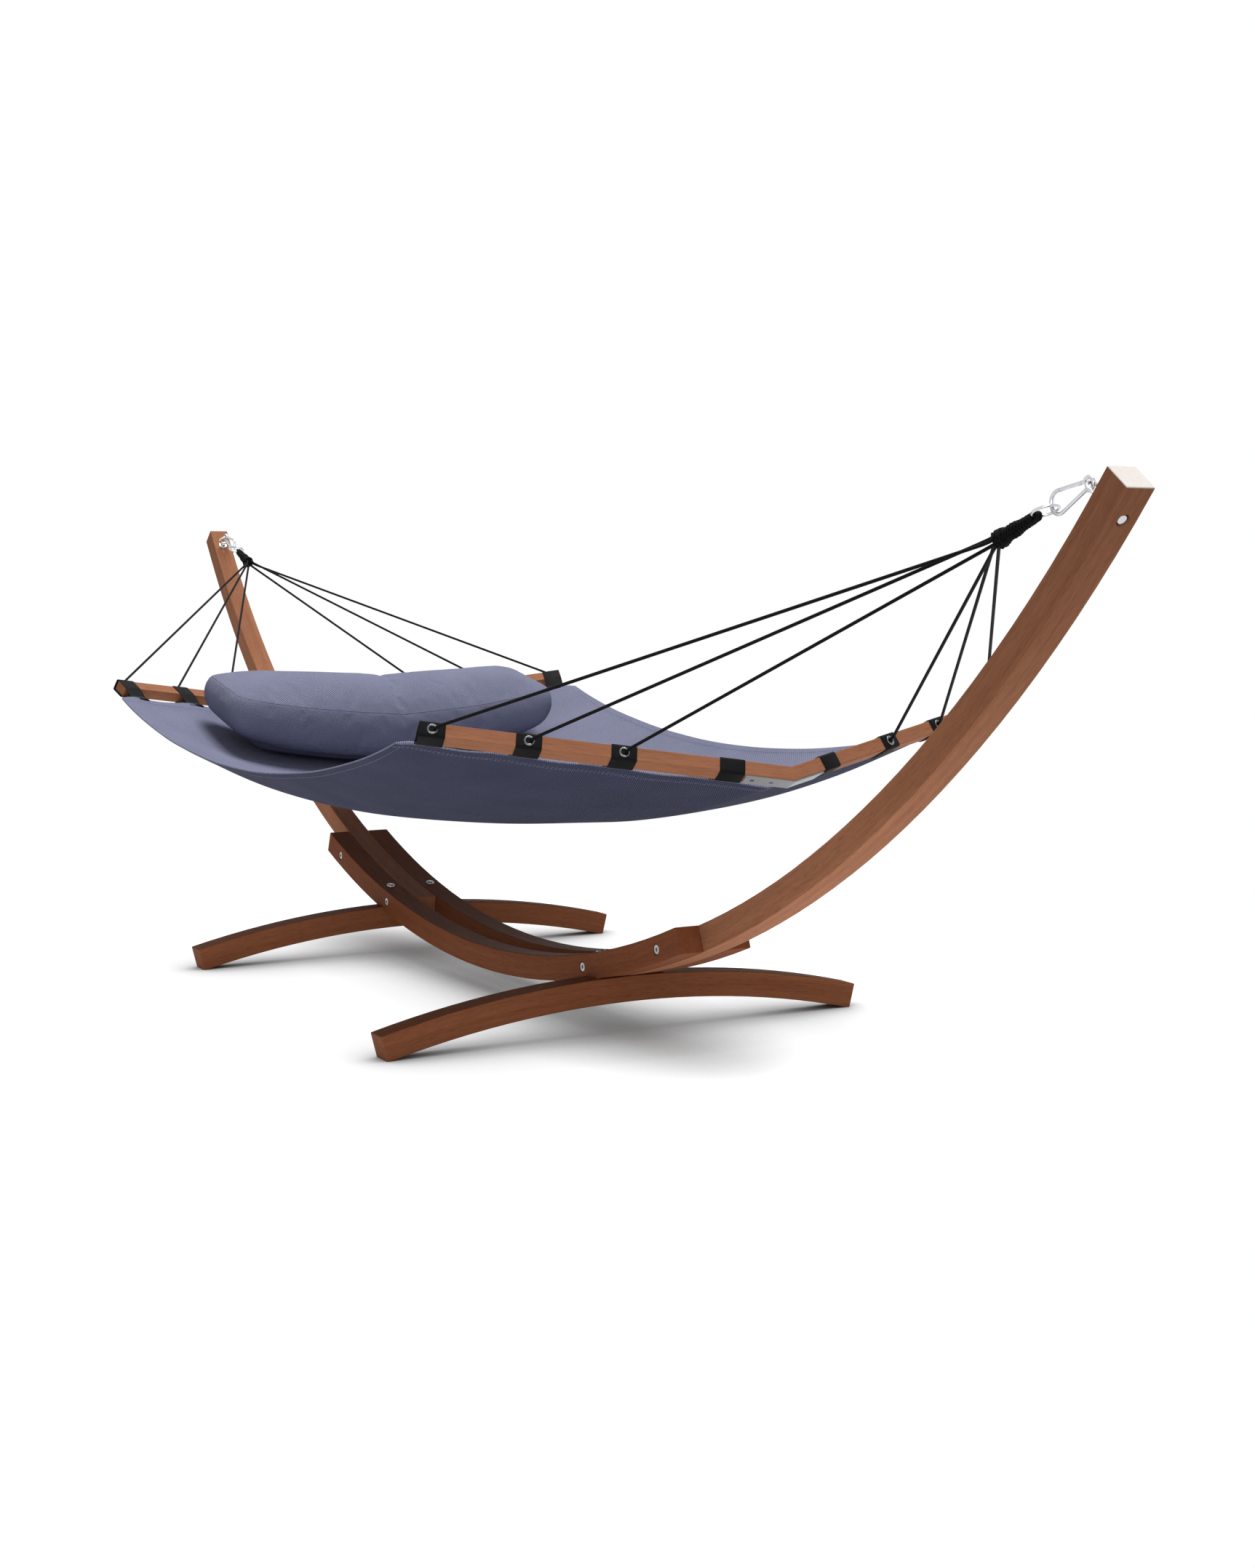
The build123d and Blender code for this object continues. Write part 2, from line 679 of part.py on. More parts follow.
# Spreader bar half at the foot end's right: x out through the eyelet face, y up it, z along the half
sweep_angle, rise_angle, tilt_angle = radians(bar_sweep), radians(bar_rise), radians(bar_tilt)
bar_along = Vector(
    -cos(rise_angle) * sin(sweep_angle), -cos(rise_angle) * cos(sweep_angle), sin(rise_angle)
)
bar_out = Vector(cos(sweep_angle), -sin(sweep_angle), 0)
bar_up = Vector(sin(rise_angle) * sin(sweep_angle), sin(rise_angle) * cos(sweep_angle), cos(rise_angle))
bar_face = bar_out * cos(tilt_angle) + bar_up * sin(tilt_angle)
kink = Vector(kink_x, 0, kink_z)
miter_spare = bar_depth


def bar_plane(station):
    """The plane square to the bar half at a distance from the kink."""
    return Plane(kink + bar_along * station, x_dir=bar_face, z_dir=bar_along)


def bar_point(station, out=0.0, up=0.0):
    """A point beside the bar half, from the middle of its eyelet face."""
    return bar_plane(station).from_local_coords(Vector(out, up, 0))


def write_quarters(piece, name):
    """Write a foot end right-hand piece and its three mirror images."""
    finish(piece, f"{name}_foot_right")
    with BuildPart() as foot_left:
        mirror(piece.part, about=Plane.XZ)
    finish(foot_left, f"{name}_foot_left")
    with BuildPart() as head_right:
        mirror(piece.part, about=Plane.YZ)
    finish(head_right, f"{name}_head_right")
    with BuildPart() as head_left:
        mirror(foot_left.part, about=Plane.YZ)
    finish(head_left, f"{name}_head_left")


strap_stations = (plain_strap_station,) + rope_stations
eyelet_radius = eyelet_bore / 2 + eyelet_wall
strap_face = strap_play + strap_thickness
face_up = bar_plane(0).y_dir
under = -bar_height / 2

with BuildPart() as bar:
    with BuildSketch(bar_plane(-miter_spare)):
        with Locations((-bar_depth / 2, 0)):
            Rectangle(bar_depth, bar_height)
    extrude(amount=miter_spare + bar_half_length)
    fillet(bar.edges(), bar_round)
    split(bisect_by=Plane.XZ, keep=Keep.TOP)
    for station in rope_stations:
        with Locations(Plane(bar_point(station), x_dir=bar_along, z_dir=bar_face)):
            CounterBoreHole(rope_hole / 2, eyelet_radius + strap_play, eyelet_length - strap_thickness)
    for station in bracket_screw_stations:
        screw_base = bar_point(station, -bar_depth / 2, under)
        with Locations(Plane(screw_base, x_dir=bar_along, z_dir=-face_up)):
            Hole(bracket_screw_diameter / 2 + thread_play, depth=bracket_screw_length)
write_quarters(bar, "spreader_bar")

with BuildPart() as bracket:
    with BuildSketch(bar_plane(-miter_spare)):
        with Locations((-bar_depth / 2, under - bracket_thickness / 2)):
            Rectangle(bracket_width, bracket_thickness)
    extrude(amount=miter_spare + bracket_length)
    split(bisect_by=Plane.XZ, keep=Keep.TOP)
    for station in bracket_screw_stations:
        screw_base = bar_point(station, -bar_depth / 2, under - bracket_thickness)
        with Locations(Plane(screw_base, x_dir=bar_along, z_dir=-face_up)):
            CounterSinkHole(bracket_screw_diameter / 2 + bolt_play, bracket_screw_head / 2 + bolt_play)
    mirror(about=Plane.XZ)
write_both(bracket, "bar_bracket")

screw_cone = (bracket_screw_head - bracket_screw_diameter) / 2
with BuildPart() as screws:
    for station in bracket_screw_stations:
        screw_base = bar_point(station, -bar_depth / 2, under - bracket_thickness)
        with Locations(Plane(screw_base, x_dir=bar_along, z_dir=face_up)):
            Cone(bracket_screw_head / 2, bracket_screw_diameter / 2, screw_cone, align=upright)
            Cylinder(bracket_screw_diameter / 2, bracket_screw_length, align=upright)
    mirror(about=Plane.XZ)
    mirror(about=Plane.YZ)
finish(screws, "bracket_screws")

# Straps wrap the bar and close behind it into a tail that meets the cloth's hem
tail_angle = radians(bar_tilt - strap_slope)
tail_way = Vector(-cos(tail_angle), sin(tail_angle))
tail_up = Vector(sin(tail_angle), cos(tail_angle))
bar_back = Vector(-bar_depth, 0)
tail_join = bar_back + tail_way * strap_join
tail_end = bar_back + tail_way * strap_reach
wrap_half = bar_height / 2 + strap_play
wrap_back = -bar_depth - strap_play
skin = tail_up * strap_thickness

with BuildPart() as straps:
    for station in strap_stations:
        with BuildSketch(bar_plane(station - strap_width / 2)):
            with BuildLine():
                Polyline(
                    (strap_face, wrap_half + strap_thickness),
                    (wrap_back, wrap_half + strap_thickness),
                    tail_join + skin,
                    tail_end + skin,
                    tail_end - skin,
                    tail_join - skin,
                    (wrap_back, -wrap_half - strap_thickness),
                    (strap_face, -wrap_half - strap_thickness),
                    close=True,
                )
            make_face()
            with BuildLine():
                Polyline(
                    (strap_play, wrap_half),
                    (wrap_back, wrap_half),
                    tail_join,
                    (wrap_back, -wrap_half),
                    (strap_play, -wrap_half),
                    close=True,
                )
            make_face(mode=Mode.SUBTRACT)
        extrude(amount=strap_width)
    for station in rope_stations:
        with Locations(Plane(bar_point(station, strap_face), x_dir=bar_along, z_dir=bar_face)):
            Hole(eyelet_radius + strap_play, depth=strap_thickness + strap_play)
write_quarters(straps, "straps")

with BuildPart() as eyelets:
    for station in rope_stations:
        flange = Plane(bar_point(station, strap_face), x_dir=bar_along, z_dir=bar_face)
        with BuildSketch(flange):
            Circle(eyelet_flange_diameter / 2)
            Circle(eyelet_bore / 2, mode=Mode.SUBTRACT)
        extrude(amount=eyelet_flange_thickness)
        with BuildSketch(flange):
            Circle(eyelet_radius)
            Circle(eyelet_bore / 2, mode=Mode.SUBTRACT)
        extrude(amount=-eyelet_length)
    mirror(about=Plane.XZ)
write_both(eyelets, "eyelets")

# Stop knots behind the bar, flat where they bear on it
knot_radius = stop_knot_diameter / 2
with BuildPart() as knots:
    for station in rope_stations:
        bearing = Plane(bar_point(station, wrap_back), x_dir=bar_along, z_dir=-bar_face)
        with Locations(bearing.offset(stop_knot_lift)):
            Sphere(knot_radius)
        with Locations(bearing):
            Cylinder(stop_knot_diameter, stop_knot_diameter, align=hung, mode=Mode.SUBTRACT)
    mirror(about=Plane.XZ)
write_both(knots, "rope_knots")

# Ropes: out of the collar, straight to the eyelet, over its rim and through the bar to the knot
for number, (station, (left, up)) in enumerate(zip(rope_stations, rope_starts), start=1):
    route = (
        on_line(collar_end, up, left),
        on_line(collar_end + rope_lead, up, left),
        bar_point(station, rope_bend_height),
        bar_point(station, wrap_back),
    )
    with BuildPart() as rope:
        with BuildLine() as rope_path:
            FilletPolyline(*route, radius=(rope_lead_radius, rope_bend_radius))
        with BuildSketch(Plane(rope_path.line @ 0, z_dir=rope_path.line % 0)):
            Circle(rope_radius)
        sweep(path=rope_path.line)
    write_quarters(rope, f"rope_{number}")
    rope_length = round(rope_path.wire().length, 1)
    print("rope", number, "length", rope_length, "bends", rope_lead_radius, rope_bend_radius)

# Sling: lengthwise curves between the hems, lofted from the middle out and mirrored
hem_start = bar_point(0) - bar_face * bar_depth
hem_start += (bar_face * tail_way.X + face_up * tail_way.Y) * (strap_reach + cloth_gap)
hem_start -= bar_along * (hem_start.Y / bar_along.Y)


def hem_at(y):
    """The hem's place at a distance out from the middle."""
    return hem_start + bar_along * (y / abs(bar_along.Y))


def bed_spot(share, y):
    """The x and z of the sling's middle at a share of the way to the hem, at a distance out."""
    hem = hem_at(y)
    out = y / cloth_half_width
    low = sling_low + (sling_edge_low - sling_low) * out**sling_trough
    rise = sling_rise + (sling_edge_rise - sling_rise) * out**2
    swell = abs(share) ** sling_belly_power
    fullness = 1 - ((out - sling_belly_middle) / sling_belly_reach) ** 2
    belly = 4 * swell * (1 - swell) * fullness * sling_belly
    return Vector(share * hem.X, low + (hem.Z - low) * abs(share) ** rise - belly)


def bed_frame(share, y):
    """A spot of the sling's middle, with the directions along the sling and up from it."""
    along = bed_spot(share + sling_slope_step, y) - bed_spot(share - sling_slope_step, y)
    along = along.normalized()
    return bed_spot(share, y), along, Vector(-along.Y, along.X)


def sling_strip(y, above, below):
    """The outline of the sling's lengthwise strip, thickened above and below its middle."""
    shares = [-share for share in sling_shares[:0:-1]] + list(sling_shares)
    frames = [bed_frame(share, y) for share in shares]
    with BuildLine() as outline:
        upper = Spline(*[spot + up * above for spot, along, up in frames])
        lower = Spline(*[spot - up * below for spot, along, up in frames])
        Line(upper @ 0, lower @ 0)
        Line(upper @ 1, lower @ 1)
    return outline.edges()


half_cloth = cloth_thickness / 2
with BuildPart() as sling:
    for y in sling_stations:
        with BuildSketch(Plane.XZ.offset(y)):
            make_face(sling_strip(y, half_cloth, half_cloth))
    loft()
    mirror(about=Plane.XZ)
finish(sling, "sling")


def pillow_section(y, inset, wall, crown, seam):
    """The pillow's outline in a lengthwise plane: base on the sling, bulged walls and a crown."""
    spot, bed_along, bed_up = bed_frame(pillow_x / hem_at(abs(y)).X, abs(y))
    base = spot + bed_up * (half_cloth - pillow_trim + inset)
    reach = bed_along * (pillow_base_width / 2 - inset)
    back_base, front_base = base - reach, base + reach
    along = Vector(cos(radians(pillow_tilt)), -sin(radians(pillow_tilt)))
    normal = Vector(-along.Y, along.X)
    top = base + normal * (wall - 2 * inset)
    back_seam = top - along * (seam / 2 - inset)
    front_seam = top + along * (seam / 2 - inset)
    bulge = along * pillow_wall_bulge
    with BuildLine() as outline:
        Line(back_base, front_base)
        ThreePointArc(front_base, (front_base + front_seam) * 0.5 + bulge, front_seam)
        ThreePointArc(front_seam, top + normal * crown, back_seam)
        ThreePointArc(back_seam, (back_base + back_seam) * 0.5 - bulge, back_base)
    return outline.edges()


pillow_profile = []
for share, inset in pillow_stations:
    y = share * pillow_half_length
    wall = pillow_wall + (pillow_end_wall - pillow_wall) * share**2
    crown = pillow_crown + (pillow_end_crown - pillow_crown) * share**2
    seam = pillow_seam_width - pillow_draw_in * (1 - share**2)
    pillow_profile.append((y, inset, wall, crown, seam))
pillow_profile = [(-y, *rest) for y, *rest in pillow_profile[:0:-1]] + pillow_profile

with BuildPart() as pillow:
    for y, inset, wall, crown, seam in pillow_profile:
        with BuildSketch(Plane.XZ.offset(y)):
            make_face(pillow_section(y, inset, wall, crown, seam))
    loft()
    for side in (-1, 1):
        for y in sling_stations:
            with BuildSketch(Plane.XZ.offset(side * y)):
                make_face(sling_strip(y, half_cloth + pillow_gap, half_cloth + 2 * pillow_trim))
        loft(mode=Mode.SUBTRACT)
finish(pillow, "pillow")

print("swing axis z", swing_z, "eye wire x", eye_wire_centre.X)
print("gate pin", gate_origin, "gate along", gate_plane.x_dir)
print("hem start", hem_start, "collar", on_line(collar_end))
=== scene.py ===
"""Hammock in a bowed wood stand: cloth, webbing, ropes, finishes, light and camera over the solids.

Everything is in metres, in the solids' frame: +X to the foot end, +Y to the left, +Z up. The hammock has
four like quarters, so most of its pieces are worked out at the foot end's right and mirrored.
"""
from math import ceil, cos, pi, radians, sin

import bmesh
import bpy
from mathutils import Matrix, Vector, noise
from mathutils.bvhtree import BVHTree
from mathutils.kdtree import KDTree


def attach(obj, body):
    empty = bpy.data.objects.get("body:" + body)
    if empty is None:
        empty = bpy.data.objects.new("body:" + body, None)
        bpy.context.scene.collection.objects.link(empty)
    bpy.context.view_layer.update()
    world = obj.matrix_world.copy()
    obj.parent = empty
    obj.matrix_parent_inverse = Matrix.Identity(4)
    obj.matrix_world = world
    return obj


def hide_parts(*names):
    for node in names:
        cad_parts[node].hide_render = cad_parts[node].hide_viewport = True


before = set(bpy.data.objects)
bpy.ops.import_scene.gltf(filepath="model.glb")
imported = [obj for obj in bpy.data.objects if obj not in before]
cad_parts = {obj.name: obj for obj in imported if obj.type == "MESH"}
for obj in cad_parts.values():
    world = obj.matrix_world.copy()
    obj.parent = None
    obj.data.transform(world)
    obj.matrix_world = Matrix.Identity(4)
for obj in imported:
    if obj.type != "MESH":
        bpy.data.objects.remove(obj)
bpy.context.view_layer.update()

# Camera of the photograph
IMAGE_WIDTH = 1725
FOCAL_PIXELS = 2879.57
SENSOR_WIDTH = 36.0
CAMERA_PLACE = Vector((4.6196, -2.2611, 0.9863))
CAMERA_AZIMUTH = 60.582
CAMERA_ELEVATION = 5.371

# Bowed stand
BOW_RADIUS = 2.730
BOW_CENTRE_Z = 2.846
ARM_TIP_ANGLE = 52.2
CROSS_RADIUS = 2.4
CROSS_CROWN_Z = 0.071

# Hanging line at the foot end
LINE_SLOPE = 21.0
EYE_ANGLE = 50.9
EYE_STAND_OFF = 0.025
EYE_RING_RADIUS = 0.01475
HOOK_SLACK = 0.00335
RING_FAR_WIRE = 0.1316
CLEW_HEAD = 0.1402
CLEW_HEAD_END = 0.1492
CLEW_FAN = 0.2252
CLEW_END = 0.2352

# Braided clews
LOOP_RADIUS = 0.0058
LOOP_CORD = 0.0030
LOOP_SIDE = 0.0033
LOOP_SEAT = 0.0002
LOOP_TAIL = 0.006
BRAID_STRANDS = 4
BRAID_CORD = 0.0025
BRAID_TURNS = 3.2
BRAID_STEPS = 150
BRAID_START = 0.002
BRAID_OVER = 0.0015
BRAID_WAIST = 0.0064
BRAID_SPREAD = 0.0068
BRAID_SPREAD_POWER = 1.2
BRAID_SWELL = 0.0018
BRAID_CORE_INSET = 0.0022
WINDING_CORD = 0.0029
WINDING_WOBBLE = 0.0012
WINDINGS = (
    (CLEW_HEAD - 0.001, CLEW_HEAD_END, 0.0076, 2.5),
    (CLEW_FAN - 0.010, CLEW_END - 0.003, 0.0128, 3.5),
)

# Eyelets and stop knots
EYELET_BORE = 0.0062
EYELET_FLANGE = 0.01075
EYELET_ROLL = 0.0016
EYELET_SEAT = 0.0027
EYELET_WALL = 0.0006
EYELET_DEPTH = 0.005
KNOT_CORD = 0.0027
KNOT_TURNS = 2.25
KNOT_RADIUS = 0.0030
KNOT_SWELL = 0.0016
KNOT_START = 0.0032
KNOT_LENGTH = 0.0062

# Spreader bars
KINK = Vector((1.264, 0.0, 0.628))
BAR_SWEEP = 20.0
BAR_RISE = 7.55
BAR_TILT = 29.0
BAR_HEIGHT = 0.028
BAR_DEPTH = 0.040
ROPE_STATIONS = (0.335, 0.519, 0.703)
STRAP_STATIONS = (0.122, *ROPE_STATIONS)

# Ropes
ROPE = 0.0064
ROPE_LEAD = 0.012
ROPE_BEND_HEIGHT = 0.0065
ROPE_STARTS = ((-0.0036, -0.0046), (-0.0064, 0.0064), (-0.0122, 0.0))
ROPE_LENGTHS = (0.913, 1.027, 1.156)
ROPE_STRAIGHT = 6 * ROPE

# Webbing straps
STRAP_WIDTH = 0.050
STRAP = 0.0021
STRAP_PLAY = 0.0005
STRAP_ROUND = 0.0032
STRAP_SLOPE = 18.0
STRAP_JOIN = 0.036
STRAP_TUCK = 0.012

# Sling cloth
CLOTH = 0.0022
HEM_REACH = 0.050
SLING_HALF_WIDTH = 0.687
SLING_LOW = 0.441
SLING_EDGE_LOW = 0.571
SLING_TROUGH = 3.2
SLING_RISE = 2.45
SLING_EDGE_RISE = 2.1
SLING_BELLY = 0.008
SLING_BELLY_POWER = 4
SLING_BELLY_MIDDLE = 0.6
SLING_BELLY_REACH = 0.6
SLING_FOLDS = ((0.0022, 1.3, 7.0, 4.0), (0.0014, 5.0, 3.0, 9.0))
# Offset of the sling's lower face in its measure, which marks where the twill paints shade
OUTER_FACE = 10.0
PULL_DEPTH = 0.004
PULL_PAST_SIDE = 0.04
BAR_HEM_WIDTH = 0.034
SIDE_HEM_WIDTH = 0.020
HEM_EDGE = (0.0, 0.002, 0.006)
HEM_FOLD = (-0.006, -0.003, 0.0, 0.003, 0.008)
HEM_STITCHES = (0.004, 0.011)
STITCH_SIZES = ("Pitch", "Length", "Thickness")
SLING_STITCH = (0.0085, 0.0060, 0.0011)
SLING_STITCH_LIFT = 0.0001
SLING_SEAM_INSET = 0.006
SIDE_SEAM_SHARE = 0.99
STRAP_STITCH = (0.0045, 0.0034, 0.0008)
STRAP_STITCH_LIFT = 0.0002
STRAP_SEAMS = (0.004, 0.009)
STRAP_SEAM_INSET = 0.004
TWILL_RIB = 0.0038
TWILL_THREAD = 0.0021

# Pillow
PILLOW_X = -0.800
PILLOW_TILT = 11.5
PILLOW_HALF_LENGTH = 0.456
PILLOW_HALF_WIDTH = 0.1405
PILLOW_DRAW_IN = 0.006
PILLOW_CORNER = 0.042
PILLOW_WALL = 0.168
PILLOW_END_WALL = 0.150
PILLOW_CROWN = 0.074
PILLOW_END_CROWN = 0.034
PILLOW_UNDERCUT = 0.052
PILLOW_TUCK = 0.22
PILLOW_BOXING = ((0.0, 1.0), (0.020, 0.84), (0.042, 0.36), (-PILLOW_UNDERCUT, PILLOW_TUCK))
PILLOW_SEAM_HOLD = 0.012
PILLOW_BASE_HOLD = 0.020
PILLOW_LIFT = 0.0028
PILLOW_VOXEL = 0.008
PILLOW_GIVE = 0.007
PILLOW_CLOTH = {
    "quality": 6,
    "mass": 0.2,
    "tension_stiffness": 18.0,
    "compression_stiffness": 18.0,
    "shear_stiffness": 6.0,
    "bending_stiffness": 3.0,
    "air_damping": 2.0,
    "vertex_group_mass": "held",
    "use_pressure": True,
    "uniform_pressure_force": 4.0,
    "shrink_min": -0.005,
}
PILLOW_FRAMES = 20
PILLOW_SIDE_SLOPE = 0.62
SEAM_CORD = 0.0008
CREASE_WIDTH = 0.008
CREASES = (
    (-0.800, -0.060, 0.055, 35.0, 0.0030),
    (-0.770, 0.075, 0.045, -25.0, 0.0026),
    (-0.840, 0.160, 0.040, 20.0, 0.0022),
    (-0.690, 0.130, 0.030, 60.0, 0.0020),
    (-0.745, -0.210, 0.035, 15.0, 0.0018),
)

# Stage
FLOOR_REACH = 2.4
FLOOR_WIDTH = 1.9
FLOOR_SHADE = 0.28
FLOOR_SHADE_POWER = 1.9
SKY_HORIZON = 0.04
SKY_ZENITH = 0.45
WHITE = (1.0, 1.0, 1.0, 1.0)
BLACK = (0.0, 0.0, 0.0, 1.0)

ENDS = (("foot", 1), ("head", -1))
SIDES = (("right", 1), ("left", -1))
QUARTERS = [(f"{end_name}_{side_name}", end, side) for end_name, end in ENDS for side_name, side in SIDES]


class Wire:
    """A shader socket that takes part in Python arithmetic."""

    def __init__(self, graph, socket):
        self.graph = graph
        self.socket = socket

    def maths(self, operation, *others):
        return self.graph.maths(operation, self, *others)

    def __add__(self, other):
        return self.maths("ADD", other)

    def __mul__(self, other):
        return self.maths("MULTIPLY", other)

    __radd__ = __add__
    __rmul__ = __mul__

    def __sub__(self, other):
        return self.maths("SUBTRACT", other)

    def __rsub__(self, other):
        return self.graph.maths("SUBTRACT", other, self)

    def __pow__(self, other):
        return self.maths("POWER", other)

    def __abs__(self):
        return self.maths("ABSOLUTE")

    def sine(self):
        return self.maths("SINE")

    def step(self, low, high, values=None):
        """Smoothly 0 below low and 1 above high, or between other values."""
        inputs = {"Value": self, "From Min": low, "From Max": high, **(values or {})}
        return self.graph.node("ShaderNodeMapRange", {"interpolation_type": "SMOOTHSTEP"}, inputs)


class Graph:
    """A node tree under construction."""

    def __init__(self, tree):
        self.tree = tree

    def put(self, socket, value):
        if isinstance(value, Wire):
            self.tree.links.new(value.socket, socket)
        else:
            socket.default_value = value

    def node(self, kind, settings=None, values=None, out=0):
        """A new node of a kind: its settings first, then the values or links of its sockets."""
        made = self.tree.nodes.new(kind)
        for key, setting in (settings or {}).items():
            setattr(made, key, setting)
        for key, value in (values or {}).items():
            self.put(made.inputs[key], value)
        return Wire(self, made.outputs[out])

    def maths(self, operation, *terms):
        return self.node("ShaderNodeMath", {"operation": operation}, dict(enumerate(terms)))

    def place(self, kind="Object"):
        """The point shaded, in a kind of coordinates."""
        return self.node("ShaderNodeTexCoord", out=kind)

    def split(self, vector):
        return [self.node("ShaderNodeSeparateXYZ", values={"Vector": vector}, out=i) for i in range(3)]

    def join(self, x, y, z):
        return self.node("ShaderNodeCombineXYZ", values={"X": x, "Y": y, "Z": z})

    def noise(self, vector, scale, detail=2.0, roughness=0.5):
        values = {"Vector": vector, "Scale": scale, "Detail": detail, "Roughness": roughness}
        return self.node("ShaderNodeTexNoise", None, values, "Fac")

    def mix(self, share, first, second):
        values = {0: share, 6: first, 7: second}
        return self.node("ShaderNodeMix", {"data_type": "RGBA", "clamp_factor": True}, values, 2)

    def bump(self, height, strength, distance):
        values = {"Height": height, "Strength": strength, "Distance": distance}
        return self.node("ShaderNodeBump", None, values)


class Finish(Graph):
    """A material under construction, with one principled shader."""

    def __init__(self, name, **shader_values):
        self.material = bpy.data.materials.new(name)
        self.material.use_nodes = True
        super().__init__(self.material.node_tree)
        self.shader = self.tree.nodes["Principled BSDF"]
        self.feed(**shader_values)

    def feed(self, **values):
        """Set the principled shader's sockets, named in lower case with underscores."""
        for key, value in values.items():
            self.put(self.shader.inputs[key.replace("_", " ").title().replace("Ior", "IOR")], value)
        return self.material


def colour(*steps):
    """A colour as seen, in steps of 255, as the shader's linear values."""
    shares = [step / 255 for step in steps]
    return (*(s / 12.92 if s <= 0.04045 else ((s + 0.055) / 1.055) ** 2.4 for s in shares), 1.0)


# Finishes
def wood_grain(finish, along, across, depth, pale, deep, warm):
    """The tone of oiled hardwood, grained along the first run. Its roughness and relief are fed here."""
    drift = finish.noise(finish.join(along * 1.6, across * 7.0, depth * 7.0), 1.0, 3.0)
    rings = finish.noise(finish.join(along * 1.4, across * 60.0, depth * 60.0 + drift * 2.0), 1.0, 4.0, 0.6)
    fibre = finish.noise(finish.join(along * 16.0, across * 460.0, depth * 460.0), 1.0, 3.0, 0.65)
    pores = finish.noise(finish.join(along * 42.0, across * 1300.0, depth * 1300.0), 1.0, 1.0, 0.4)
    pore_mask = pores.step(0.56, 0.70)
    tone = finish.mix(rings.step(0.20, 0.80), finish.mix(0.5, deep, pale), pale)
    tone = finish.mix(drift.step(0.35, 0.75) * 0.6, tone, warm)
    tone = finish.mix(fibre.step(0.40, 0.85) * 0.5, tone, deep)
    tone = finish.mix(pore_mask * 0.32, tone, tuple(0.4 * part for part in deep[:3]) + (1.0,))
    rough = fibre * 0.22 + pore_mask * 0.12 + 0.42
    relief = fibre * 0.5 + rings * 0.2 - pore_mask * 0.6
    finish.feed(roughness=rough, normal=finish.bump(relief, 0.25, 0.0006))
    return tone


def bow_wood(name, pale, deep, warm):
    """Stained beams whose grain follows the bow, with a painted highlight: near-white end faces at the arm
    tips.
    """
    finish = Finish(name, specular_ior_level=0.02)
    x, y, z = finish.split(finish.place())
    drop = BOW_CENTRE_Z - z
    radius = (x * x + drop * drop) ** 0.5
    angle = finish.maths("ARCTAN2", x, drop)
    arc = angle * BOW_RADIUS
    tone = wood_grain(finish, arc, y, radius, pale, deep, warm)
    tip = abs(angle).step(radians(ARM_TIP_ANGLE) - 0.0009, radians(ARM_TIP_ANGLE) - 0.0003)
    end_grain = finish.noise(finish.join(arc * 40.0, y * 300.0, radius * 300.0), 1.0, 3.0)
    # Painted highlight: the end faces at the arm tips are near white, in place of a bright top light's
    # reflection on their end grain.
    end_face_highlight = finish.mix(end_grain, colour(222, 217, 213), colour(204, 196, 190))
    return finish.feed(base_color=finish.mix(tip, tone, end_face_highlight))


def cross_wood():
    """Stained cross beams whose grain follows their arch, darker than the arms as painted shade from the
    bed above.
    """
    finish = Finish("stained_cross_wood_painted_shade", specular_ior_level=0.02)
    x, y, z = finish.split(finish.place())
    rise = z - (CROSS_CROWN_Z - CROSS_RADIUS)
    radius = (y * y + rise * rise) ** 0.5
    arc = finish.maths("ARCTAN2", y, rise) * CROSS_RADIUS
    # Painted shade: these tones are darker than the arm wood in place of the shade under the bed.
    tone = wood_grain(finish, arc, x, radius, colour(137, 85, 58), colour(91, 51, 33), colour(119, 71, 45))
    return finish.feed(base_color=tone)


def bar_wood():
    """Lighter stained spreader bars, with the grain along each half."""
    finish = Finish("stained_bar_wood", specular_ior_level=0.02)
    x, y, z = finish.split(finish.place())
    runs = []
    for axis in (BAR_ALONG, BAR_FACE, BAR_UP):
        runs.append(abs(x) * axis.x - abs(y) * axis.y + z * axis.z)
    tone = wood_grain(finish, *runs, colour(160, 110, 82), colour(113, 70, 50), colour(145, 95, 71))
    return finish.feed(base_color=tone)


def twill(name, outer_shade_share):
    """Heather twill laid out on a piece's own flat measure, its outer face darkened as painted shade where
    the share given is 1.
    """
    finish = Finish(name, specular_ior_level=0.04)
    along, across, _ = finish.split(finish.place("UV"))
    outer_shade = across.step(OUTER_FACE / 2 - 0.1, OUTER_FACE / 2 + 0.1) * outer_shade_share
    # Painted shade: the outer face takes darker tones in place of the shade under the sling.
    deep = finish.mix(outer_shade, colour(66, 69, 93), colour(20, 22, 36))
    pale = finish.mix(outer_shade, colour(160, 163, 184), colour(88, 91, 115))
    thread = 2 * pi / TWILL_THREAD
    rib = ((along * 0.6 + across) * (2 * pi / TWILL_RIB)).sine()
    threads = (along * thread).sine() + (across * thread).sine()
    spot = finish.join(along, across, 0.0)
    melange = finish.noise(finish.join(along * 0.35, across, 0.0), 900.0, 2.0, 0.7)
    cloud = finish.noise(spot, 7.0, 3.0)
    fleck = finish.noise(spot, 420.0, 2.0, 0.6)
    share = rib * melange * 0.48 + melange * 0.75 + fleck.step(0.55, 0.75) * 0.25 + cloud * 0.2 - 0.1
    relief = finish.bump(rib * 0.6 + threads * 0.2 + melange * 0.4, 0.35, 0.0008)
    tone = finish.mix(share, deep, pale)
    return finish.feed(base_color=tone, roughness=melange * 0.12 + 0.80, normal=relief)


